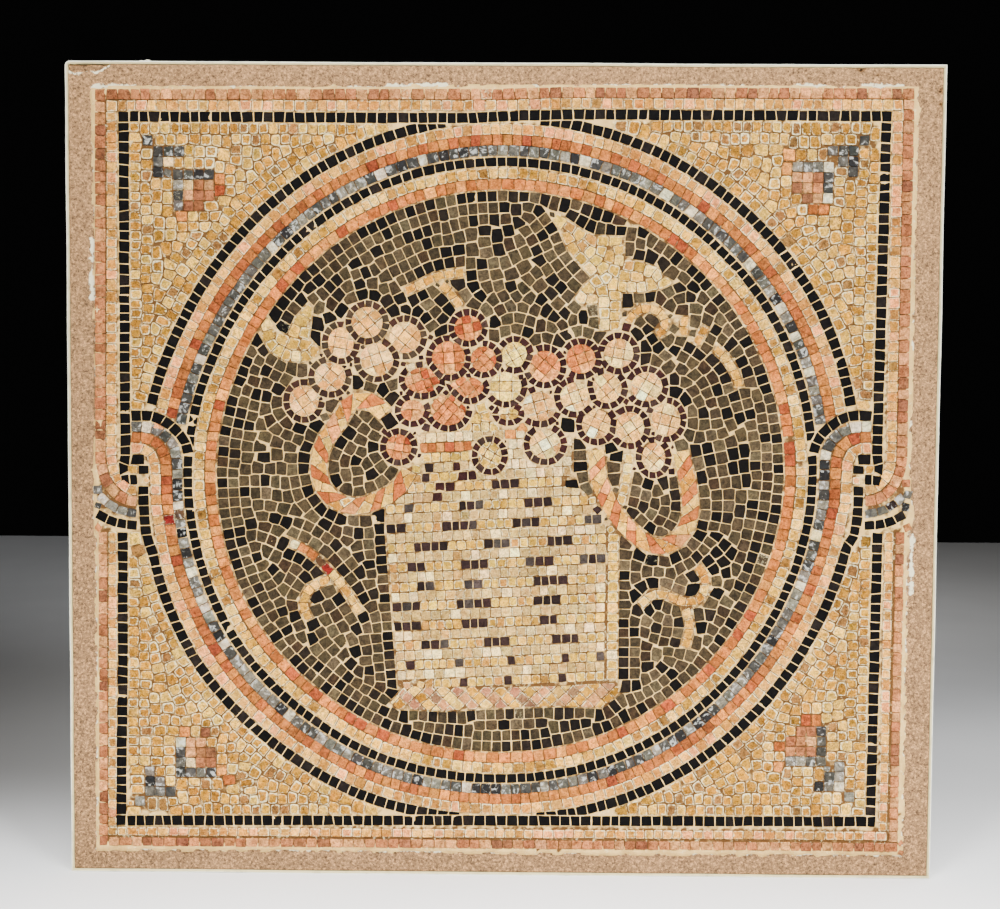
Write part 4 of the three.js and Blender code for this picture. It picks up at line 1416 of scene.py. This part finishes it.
def stone_material(name, contrast, veins, pits):
    """Worn stone with mottling, small pits and a film of lime that is thickest at the edges."""
    nodes = Nodes(name, shine=0.06)
    chance = nodes.maths("MULTIPLY", nodes.attribute("chance"), 40.0)
    colour = nodes.attribute("stone_colour", "Color")
    clouds = nodes.noise(260, 5, 0.68, 0.5, chance)
    shade = nodes.span(clouds, 0.34, 0.66, 1 - contrast, 1 + contrast)
    grey = nodes.add("ShaderNodeCombineColor", {"Red": shade, "Green": shade, "Blue": shade}).outputs["Color"]
    colour = nodes.mix(1.0, colour, grey, "MULTIPLY")
    rust = nodes.noise(140, 3, 0.5, 0.6, chance)
    colour = nodes.blot(colour, rust, 0.52, 0.7, 0.0 if veins else 0.35, RUST, "MULTIPLY")
    if veins:
        vein = nodes.noise(105, 5, 0.6, 1.6, chance)
        colour = nodes.blot(colour, vein, 0.53, 0.62, veins, PALE_VEIN)
        colour = nodes.blot(colour, vein, 0.46, 0.38, veins, DARK_VEIN)
    fine = nodes.noise(620, 3, 0.65)
    colour = nodes.blot(colour, fine, 0.53, 0.66, pits, PIT_SOIL, "MULTIPLY")
    colour = nodes.blot(colour, fine, 0.45, 0.33, pits, GLINT, "MULTIPLY")
    spread = nodes.noise(420, 4, 0.65, 0.3)
    film = nodes.maths("ADD", nodes.attribute("lime"), nodes.span(spread, 0.3, 0.7, -0.34, 0.34))
    film = nodes.span(film, 0.38, 0.92, 0.0, 0.88)
    colour = nodes.mix(film, colour, rgba(LIME_CLEAN))
    relief = nodes.maths("ADD", nodes.maths("MULTIPLY", clouds, 0.7), nodes.maths("MULTIPLY", fine, 0.5))
    nodes.bump(relief, 0.0011, 0.95)
    return nodes.finish(colour, nodes.span(film, 0.0, 1.0, 0.62, 0.92))


def lime_material():
    """Pale lime mortar, soiled here and there, with sand in it, and painted deep brown where it sinks between
    light stones: painted shade in those narrow joints.
    """
    nodes = Nodes("lime_bed", shine=0.15)
    raised_unshaded = nodes.attribute("lime")
    clouds = nodes.span(nodes.noise(60, 4, 0.6), 0.35, 0.7, 0.0, 0.5)
    colour = nodes.mix(clouds, rgba(LIME), rgba(LIME_SOIL))
    # Where the lime sinks between light stones it turns deep brown: painted shade in the narrow joints.
    deep = nodes.maths("ADD", raised_unshaded, nodes.span(nodes.noise(150, 4, 0.6), 0.3, 0.7, -0.25, 0.35))
    colour = nodes.mix(nodes.span(deep, 0.1, 0.8, 1.0, 0.0), colour, rgba(LIME_CREVICE_SHADE))
    grain = nodes.noise(1100, 2, 0.6)
    colour = nodes.blot(colour, grain, 0.6, 0.75, 0.5, rgba((110, 78, 48)))
    colour = nodes.blot(colour, nodes.noise(300, 3), 0.56, 0.7, 0.5, rgba(LIME_CLEAN))
    nodes.bump(nodes.maths("ADD", grain, nodes.noise(420, 4, 0.6)), 0.0008, 0.8)
    return nodes.finish(colour, 0.93)


def mortar_material():
    """Sanded pinkish-brown mortar: coarse grains, dark and light, and soft clouds."""
    nodes = Nodes("sanded_mortar", shine=0.12)
    colour = nodes.attribute("stone_colour", "Color")
    clouds = nodes.span(nodes.noise(9, 4, 0.6), 0.3, 0.7, 0.0, 1.0)
    colour = nodes.mix(nodes.maths("MULTIPLY", clouds, 0.3), colour, rgba((160, 122, 86)))
    grain = nodes.noise(430, 3, 0.8)
    colour = nodes.blot(colour, grain, 0.53, 0.61, 0.9, rgba((66, 49, 35)))
    colour = nodes.blot(colour, grain, 0.47, 0.39, 0.9, rgba((206, 157, 105)))
    lime = nodes.attribute("lime")
    smear = nodes.maths("ADD", lime, nodes.span(nodes.noise(160, 4), 0.3, 0.7, -0.4, 0.4))
    colour = nodes.blot(colour, smear, 0.45, 0.75, 0.9, rgba((238, 230, 196)))
    nodes.bump(nodes.maths("ADD", grain, nodes.noise(300, 3)), 0.0011, 0.9)
    return nodes.finish(colour, 0.95)


def strip_material():
    """Cream paint on the metal strip, brighter where the edge is rubbed and a highlight is painted along it,
    with grime and small chips.
    """
    nodes = Nodes("cream_paint", shine=0.4)
    colour = nodes.attribute("stone_colour", "Color")
    colour = nodes.blot(colour, nodes.noise(60, 5, 0.65), 0.45, 0.75, 0.45, rgba((125, 119, 82)))
    colour = nodes.blot(colour, nodes.noise(240, 3, 0.7), 0.66, 0.7, 0.55, rgba((90, 84, 66)))
    nodes.bump(nodes.noise(500, 3), 0.00025, 0.6)
    return nodes.finish(colour, 0.5)


def plaster_material():
    """White plaster, yellowed in places."""
    nodes = Nodes("white_plaster", shine=0.15)
    yellowed = rgba((190, 176, 140))
    colour = nodes.blot(rgba((240, 238, 224)), nodes.noise(500, 3), 0.4, 0.7, 1.0, yellowed)
    nodes.bump(nodes.noise(700, 4, 0.7), 0.0006, 0.8)
    return nodes.finish(colour, 0.95)


def floor_material():
    """The studio's pale grey floor, very slightly uneven in tone."""
    nodes = Nodes("studio_floor", shine=0.1)
    darker, lighter = (0.80, 0.80, 0.80, 1), (0.84, 0.84, 0.84, 1)
    return nodes.finish(nodes.blot(darker, nodes.noise(3, 2), 0.3, 0.7, 1.0, lighter), 0.9)


# How each material slot's stones look: (mottling, veins, pits).
STONE_LOOKS = {
    "black": (0.6, 0.0, 0.5), "taupe": (0.55, 0.0, 0.7), "rose": (0.5, 0.0, 0.8), "peach": (0.42, 0.0, 0.8),
    "orange": (0.5, 0.0, 0.8), "marble": (0.4, 0.5, 0.3), "ochre": (0.52, 0.0, 0.9), "pink": (0.46, 0.0, 0.8),
    "sand": (0.38, 0.0, 0.8), "rope": (0.38, 0.0, 0.7), "pale": (0.44, 0.0, 0.8), "fruit": (0.38, 0.0, 0.5),
}


def build_stones():
    """One piece for each CAD node that has stones, in the material of the node's slot."""
    slots = {part["node"]: part["material_slot"] for part in frame["record"]["subparts"]}
    materials = {slot: stone_material(f"{slot}_stone", *look) for slot, look in STONE_LOOKS.items()}
    for node, stones in sorted(laid.items()):
        dice = random.Random(f"shapes of {node}")
        vertices, faces, colours, films, chances = [], [], [], [], []
        for stone in stones:
            stone_mesh(stone, dice, vertices, faces, colours, films, chances)
        slot = slots[node]
        piece = add_piece(f"stones_{node}", vertices, faces, materials[slot], slot, [node])
        paint(piece, colours, films, chances)
        flat_map(piece)


# --- backing

PANEL_WIDTH = (CAD_BOX[1][0] - CAD_BOX[0][0]) / MM
PANEL_HEIGHT = (CAD_BOX[1][2] - CAD_BOX[0][2]) / MM
STRIP_THICKNESS = 3.0
STRIP_FRONT = 30.0
STRIP_RADIUS = 5.0
MORTAR = (137, 106, 73)
STRIP_CREAM = (205, 190, 140)
# Near white on the strip's outer edge: rubbed paint, and a painted highlight along that edge.
STRIP_RUBBED_HIGHLIGHT = (240, 240, 222)

BED_OUTLINE = on_face([
    (-422, -396), (-200, -395.5), (60, -396), (300, -395.5), (419.5, -396), (419, -200), (419, -60),
    (425, -38), (419, -12), (419.5, 60), (420, 396.5), (180, 398.5), (-20, 396.5), (-200, 394.5),
    (-400, 394), (-421.5, 391), (-420, 280), (-419.5, 60), (-422, 4), (-423, -45), (-420.5, -62),
    (-421, -250),
])


def waves(places, size, seed, count=9):
    """A smooth random field from -1 to 1 or so, with ripples of about a size in millimetres."""
    dice = random.Random(seed)
    total = np.zeros(len(places))
    for _ in range(count):
        wave = cmath.rect(2 * math.pi / (size * dice.uniform(0.7, 1.5)), dice.uniform(0, 2 * math.pi))
        total += np.sin((np.conj(wave) * places).real + dice.uniform(0, 2 * math.pi))
    return total / math.sqrt(count)


def distance_to(places, corners, closed=True):
    """How far places are from a line through some corners."""
    ends = corners[1:] + corners[:1] if closed else corners[1:]
    best = np.full(len(places), 1e9)
    for a, b in zip(corners, ends):
        share = np.clip((np.conj(b - a) * (places - a)).real / abs(b - a) ** 2, 0, 1)
        best = np.minimum(best, np.abs(places - a - share * (b - a)))
    return best


def eased(share):
    """A share from 0 to 1, starting and ending gently."""
    return share * share * (3 - 2 * share)


def grid_surface(columns, rows, keep):
    """The corners in use and the faces of a grid, without the squares that lie wholly outside."""
    wide = columns.size
    first = np.arange((rows.size - 1) * wide).reshape(rows.size - 1, wide)[:, :-1].ravel()
    squares = [(start, start + 1, start + wide + 1, start + wide) for start in first]
    squares = [square for square in squares if all(keep[i] for i in square)]
    used = sorted({i for square in squares for i in square})
    index = -np.ones(wide * rows.size, int)
    index[used] = np.arange(len(used))
    return used, [tuple(int(index[i]) for i in square) for square in squares]


# Kinds of stone with clean lime pressed up between them, and how clean. Between others the lime sinks lower
# and is painted deep brown, as painted shade in the narrow joints.
RAISED_UNSHADED_LIME = {
    "black": 1.0, "dash": 0.8, "taupe": 0.8, "dark ground": 0.8, "edging": 1.0, "edging left": 0.8,
    "ochre": 0.1, "pale ochre": 0.1,
}


def lime_raised_unshaded(places):
    """How clean and raised the lime is at each place: 1 among dark stones, less among light ones, where it
    sinks and is painted with joint shade.
    """
    stones = [stone for group in laid.values() for stone in group]
    tree = kdtree.KDTree(len(stones))
    for i, stone in enumerate(stones):
        tree.insert((stone.centre.real, stone.centre.imag, 0), i)
    tree.balance()
    raised_unshaded = [RAISED_UNSHADED_LIME.get(stone.kind, 0.0) for stone in stones]
    return np.array([
        sum(raised_unshaded[i] for _, i, _ in tree.find_n((place.real, place.imag, 0), 2)) / 2 for place in places
    ])


# The bed slopes off over this width at its edge, from this far outside its outline.
BED_SLOPE = 3.4
BED_SPILL = 2.2
# The bed's grid goes on this far outside its outline, a little under the slab's face.
BED_OUTSIDE = 5
BED_UNDER = 0.8


def build_bed():
    """The lime between the stones: nearly level with them, uneven, and sloping off at its ragged edge."""
    columns = np.arange(-428, 429, BED_GRID)
    rows = np.arange(-400, 403, BED_GRID)
    places = (columns[None, :] + 1j * rows[:, None]).ravel()
    depth = distance_to(places, BED_OUTLINE) * np.where(inside(places, sides(BED_OUTLINE)), 1, -1)
    depth += 1.1 * waves(places, 26, 5) + 0.7 * waves(places, 9, 6)
    # 1 among dark stones, where the lime stands high; less among light ones, where it sinks and its material
    # paints shade into the joints.
    raised_unshaded = np.where(depth > 5, lime_raised_unshaded(places), 1.0)
    level = BED_LEVEL + 0.12 * waves(places, 60, 1) + 0.12 * waves(places, 14, 2) + 0.1 * waves(places, 7, 3)
    level -= LIME_SUNK * (1 - raised_unshaded)
    slope = eased(np.clip((depth + BED_SPILL) / BED_SLOPE, 0, 1))
    heights = SLAB_FRONT - BED_UNDER + (level - SLAB_FRONT + BED_UNDER) * slope
    used, faces = grid_surface(columns, rows, depth > -BED_OUTSIDE)
    vertices = [(places[i].real, heights[i], places[i].imag) for i in used]
    bed = add_piece("lime_bed", vertices, faces, lime_material(), "lime", ["setting_bed"])
    store(bed.data, "lime", raised_unshaded[used])
    flat_map(bed)


# The lower lip of the pit in the upper left corner, from the left, a crack, holes as (right, up, half
# width, half height), and lines along which lime was smeared.
CORNER_PIT = [(-447, 411), (-441, 408), (-432, 409), (-425, 412), (-419, 409), (-412, 412), (-404, 417)]
PIT_END = -404
CRACK = on_face([(350, 419), (362, 415), (371, 411), (385, 410), (398, 408), (403, 402)])
HOLES = [
    (364, 415.5, 4, 2.5), (444, 394.5, 2, 3.5), (380, 410, 1.4, 1), (428, 410, 1.2, 1), (445, 382, 2.6, 2),
]
SMEARS = [
    [(365, 399), (405, 399)], [(-420, 394.5), (-380, 395.5)], [(-120, 397), (-60, 398)],
    [(300, 399), (330, 399)], [(-424, 180), (-423, 240)], [(424, -120), (424, -60)],
]


def above_ledge(places):
    """How far places are above the lower lip of the corner's pit."""
    lip = np.interp(places.real, [right for right, _ in CORNER_PIT], [up for _, up in CORNER_PIT])
    return places.imag - lip


def mortar_level(places):
    """Depth of the mortar's face, with its pits and crack."""
    level = SLAB_FRONT + 0.12 * waves(places, 40, 11)
    level = level + 0.06 * waves(places, 6, 12) + 0.05 * waves(places, 3.2, 13)
    above = above_ledge(places) - 0.8 * waves(places, 6, 14)
    pit = np.clip(above / 1.8, 0, 1) * (places.real < PIT_END)
    level -= pit * (2.2 + 0.9 * waves(places, 4, 15))
    crack = distance_to(places, CRACK, closed=False) + 0.4 * waves(places, 5, 16)
    level -= 1.8 * np.clip(1.3 - crack, 0, 1)
    for x, z, half_width, half_height in HOLES:
        away = np.hypot((places.real - x) / half_width, (places.imag - z) / half_height)
        level -= np.clip((1.25 - away) * 5, 0, 4.5)
    return level


SIDE_POINTS = 430
SLAB_GAP = 0.3
# Distances of the slab's rings from its edge: on the back, from the middle outwards, and on the face.
BACK_INSETS = (400.0, 250.0, 120.0, 30.0, 2.0, 0.0)
FACE_INSETS = [0.0, 0.5, *np.arange(1.8, 34, 1.7)]


def slab_rings(insets):
    """Rectangles one inside the other, with as many points on each side."""
    half_width = PANEL_WIDTH / 2 - STRIP_THICKNESS - SLAB_GAP
    half_height = PANEL_HEIGHT / 2 - STRIP_THICKNESS - SLAB_GAP
    share = np.arange(SIDE_POINTS) / SIDE_POINTS * 2 - 1
    rings = []
    for inset in insets:
        w, h = half_width - inset, half_height - inset
        rings += [w * share - 1j * h, w + 1j * h * share, -w * share + 1j * h, -w - 1j * h * share]
    return np.concatenate(rings)


def mortar_colours(places, sunk):
    """Darker towards the foot of the panel and in the pits."""
    colours = []
    for lift, deep in zip(np.clip(places.imag / 900 + 0.5, 0, 1), sunk):
        tone = (0.92 + 0.12 * lift) * (1 - 0.22 * min(max(deep - 0.6, 0), 3) / 3)
        colours.append(rgba([channel * tone for channel in MORTAR]))
    return colours


def lime_smears(places):
    """How much lime there is on the mortar: along some lines, round the mosaic and on the pit's lip."""
    smears = np.zeros(len(places))
    for line in SMEARS:
        smears = np.maximum(smears, 1 - distance_to(places, on_face(line), closed=False) / 5)
    smears = np.maximum(smears, 0.75 * (1 - distance_to(places, BED_OUTLINE) / 3.5))
    lip = np.abs(above_ledge(places))
    smears = np.maximum(smears, (0.9 - lip / 2.5) * (places.real < PIT_END))
    return np.clip(smears, 0, 1)


def build_mortar():
    """The slab: nested outlines from the back's middle round the edge to the face's middle."""
    back = slab_rings(BACK_INSETS)
    face = slab_rings(FACE_INSETS)
    level = mortar_level(face)
    count = SIDE_POINTS * 4
    level[:count] -= 0.5
    vertices = [(place.real, 0.0, place.imag) for place in back]
    vertices += [(place.real, depth, place.imag) for place, depth in zip(face, level)]
    rings = len(vertices) // count
    faces = between_rings(0, rings, count)
    faces.append(tuple(range(count))[::-1])
    faces.append(tuple(range((rings - 1) * count, rings * count)))
    slab = add_piece("mortar_slab_face", vertices, faces, mortar_material(), "mortar", ["mortar_slab"])
    for polygon in slab.data.polygons:
        polygon.use_smooth = len(polygon.vertices) == 4 and abs(polygon.normal.y) > 0.5
    places = np.concatenate([back, face])
    sunk = np.concatenate([np.zeros(len(back)), SLAB_FRONT - level])
    paint(slab, mortar_colours(places, sunk), lime_smears(places), np.zeros(len(places)))
    flat_map(slab)


SIDE_STEPS = 60
CORNER_STEPS = 5
STRIP_WOBBLE = 0.6


def frame_ring(inset):
    """The panel's outline at a distance inside its edge, with its upper left corner rounded."""
    w, h = PANEL_WIDTH / 2 - inset, PANEL_HEIGHT / 2 - inset
    radius = max(STRIP_RADIUS - inset, 0.6)
    corner = complex(-w + radius, h - radius)
    turns = [math.pi / 2 * (1 + i / CORNER_STEPS) for i in range(CORNER_STEPS + 1)]
    bend = [corner + cmath.rect(radius, turn) for turn in turns]
    corners = on_face([(-w, -h), (w, -h), (w, h)])
    points = []
    for start, end in zip(corners, [*corners[1:], bend[0]]):
        points += [start + (end - start) * i / SIDE_STEPS for i in range(SIDE_STEPS)]
    points += bend
    points += [bend[-1] + (corners[0] - bend[-1]) * i / SIDE_STEPS for i in range(1, SIDE_STEPS)]
    places = np.array(points)
    return places + STRIP_WOBBLE * (waves(places, 170, 21) + 1j * waves(places, 190, 22)) * 0.35


def build_strip():
    """The metal strip on edge round the slab, its edges a little rounded and rubbed, its outer edge near
    white: rubbed paint and a painted highlight.
    """
    # Each point of the profile: inset, depth, and whether it is near white, rubbed paint with a painted
    # highlight along the outer edge.
    profile = [
        (0, 0, 0), (0, STRIP_FRONT - 0.7, 1), (0.25, STRIP_FRONT - 0.15, 1), (0.9, STRIP_FRONT, 1),
        (1.15, STRIP_FRONT - 0.15, 0), (STRIP_THICKNESS - 0.5, STRIP_FRONT - 0.25, 0),
        (STRIP_THICKNESS - 0.1, STRIP_FRONT - 0.7, 0), (STRIP_THICKNESS, 0, 0),
    ]
    rings = [frame_ring(inset) for inset, _, _ in profile]
    count = len(rings[0])
    vertices = [(p.real, depth, p.imag) for ring, (_, depth, _) in zip(rings, profile) for p in ring]
    faces = between_rings(0, len(profile), count, closed=True)
    strip = add_piece("edge_strip", vertices, faces, strip_material(), "cream_metal", ["edge_frame"])
    colours = []
    for _, _, rubbed_highlight in profile:
        colours += [rgba(STRIP_RUBBED_HIGHLIGHT if rubbed_highlight else STRIP_CREAM)] * count
    paint(strip, colours, [0.0] * len(vertices), [0.0] * len(vertices))


# Lumps as (right, up, size).
LUMPS = [
    (-366, PANEL_HEIGHT / 2, 4.2), (-372, PANEL_HEIGHT / 2 + 0.2, 2.6), (-390, PANEL_HEIGHT / 2 - 0.3, 1.8),
    (414, 410, 1.6),
]


def build_lumps():
    """Bits of white plaster left on the strip."""
    material = plaster_material()
    for number, (x, z, size) in enumerate(LUMPS):
        mesh = bmesh.new()
        bmesh.ops.create_icosphere(mesh, subdivisions=3, radius=1)
        for vertex in mesh.verts:
            ripple = 1 + 0.35 * noise.noise(vertex.co * 2.1 + Vector((number * 7.0, 0, 0)))
            flattened = Vector((vertex.co.x * size, vertex.co.y * size * 0.8, vertex.co.z * size * 0.5))
            vertex.co = flattened * ripple
        mesh.verts.ensure_lookup_table()
        vertices = [(v.co.x + x, STRIP_FRONT - 4 - v.co.y, v.co.z + z) for v in mesh.verts]
        faces = [tuple(v.index for v in face.verts) for face in mesh.faces]
        mesh.free()
        add_piece(f"plaster_lump_{number + 1}", vertices, faces, material, "lime")


# --- stage, lights and camera


def build_stage():
    """A floor at the panel's foot, which ends some way behind it."""
    low = CAD_BOX[0][2]
    mesh = bpy.data.meshes.new("studio_floor")
    mesh.from_pydata([(-8, -5, low), (8, -5, low), (8, 3.2, low), (-8, 3.2, low)], [], [(0, 1, 2, 3)])
    mesh.materials.append(floor_material())
    add_to_scene("studio_floor", mesh)


def area_light(name, place, aim, size, watts, spread, colour=(1, 1, 1)):
    light = bpy.data.lights.new(name, "AREA")
    light.shape = "RECTANGLE"
    light.size, light.size_y = size
    light.energy = watts
    light.color = colour
    light.spread = math.radians(spread)
    lamp = add_to_scene(name, light)
    lamp.location = place
    lamp.rotation_euler = (Vector(aim) - Vector(place)).to_track_quat("-Z", "Y").to_euler()


def light_scene():
    """Two soft boxes on the panel and two over the floor; the floor behind fades to black."""
    world = bpy.data.worlds.new("studio")
    world.use_nodes = True
    world.node_tree.nodes["Background"].inputs["Color"].default_value = (0.002, 0.002, 0.002, 1)
    bpy.context.scene.world = world
    area_light("key", (-1.15, -2.0, 1.75), (0.05, 0, 0.38), (0.9, 0.9), 11.8, 54, (1, 0.985, 0.96))
    area_light("fill", (1.6, -2.1, 1.4), (0.2, 0, 0.38), (1.2, 1.2), 16.2, 54, (0.98, 0.99, 1))
    area_light("floor_light", (0, -1.0, 1.2), (0, -0.68, -0.42), (1.8, 0.25), 36, 56)
    area_light("floor_right", (1.1, 0.3, 1.1), (0.95, 0.1, -0.42), (0.8, 0.8), 4, 70)


# How the panel sits before the camera: turned, tipped and rolled, at a distance in metres. The lens is
# given as its focal length in pixels of a picture of a given width.
LENS_PIXELS = 1500
IMAGE_WIDTH = 1000
SENSOR_MM = 36
YAW, PITCH_DOWN, ROLL = (math.radians(a) for a in (-0.46, 3.02, 0.37))
AIM_RIGHT, AIM_AWAY, AIM_UP = 0.0023, 1.5511, -0.021
FACE_DEPTH = STRIP_FRONT * MM


def set_camera():
    """A camera in front of the panel, placed by how the panel looks from it."""
    data = bpy.data.cameras.new("camera")
    data.sensor_width = SENSOR_MM
    data.lens = SENSOR_MM * LENS_PIXELS / IMAGE_WIDTH
    camera = add_to_scene("camera", data)
    tipped = Matrix.Rotation(ROLL, 3, "Y") @ Matrix.Rotation(PITCH_DOWN, 3, "X")
    back = (tipped @ Matrix.Rotation(YAW, 3, "Z")).transposed()
    place = back @ -Vector((AIM_RIGHT, AIM_AWAY, AIM_UP)) - Vector((0, FACE_DEPTH, 0))
    axes = Matrix([back @ Vector(axis) for axis in ((1, 0, 0), (0, 0, 1), (0, -1, 0))]).transposed()
    camera.matrix_world = Matrix.Translation(place) @ axes.to_4x4()
    bpy.context.scene.camera = camera


set_camera()
build_stage()
light_scene()
lay_border()
lay_knots()
lay_rings()
lay_corners()
lay_fruits()
lay_basket()
lay_handles()
lay_figures()
lay_chips()
recolour()
build_stones()
build_bed()
build_mortar()
build_strip()
build_lumps()
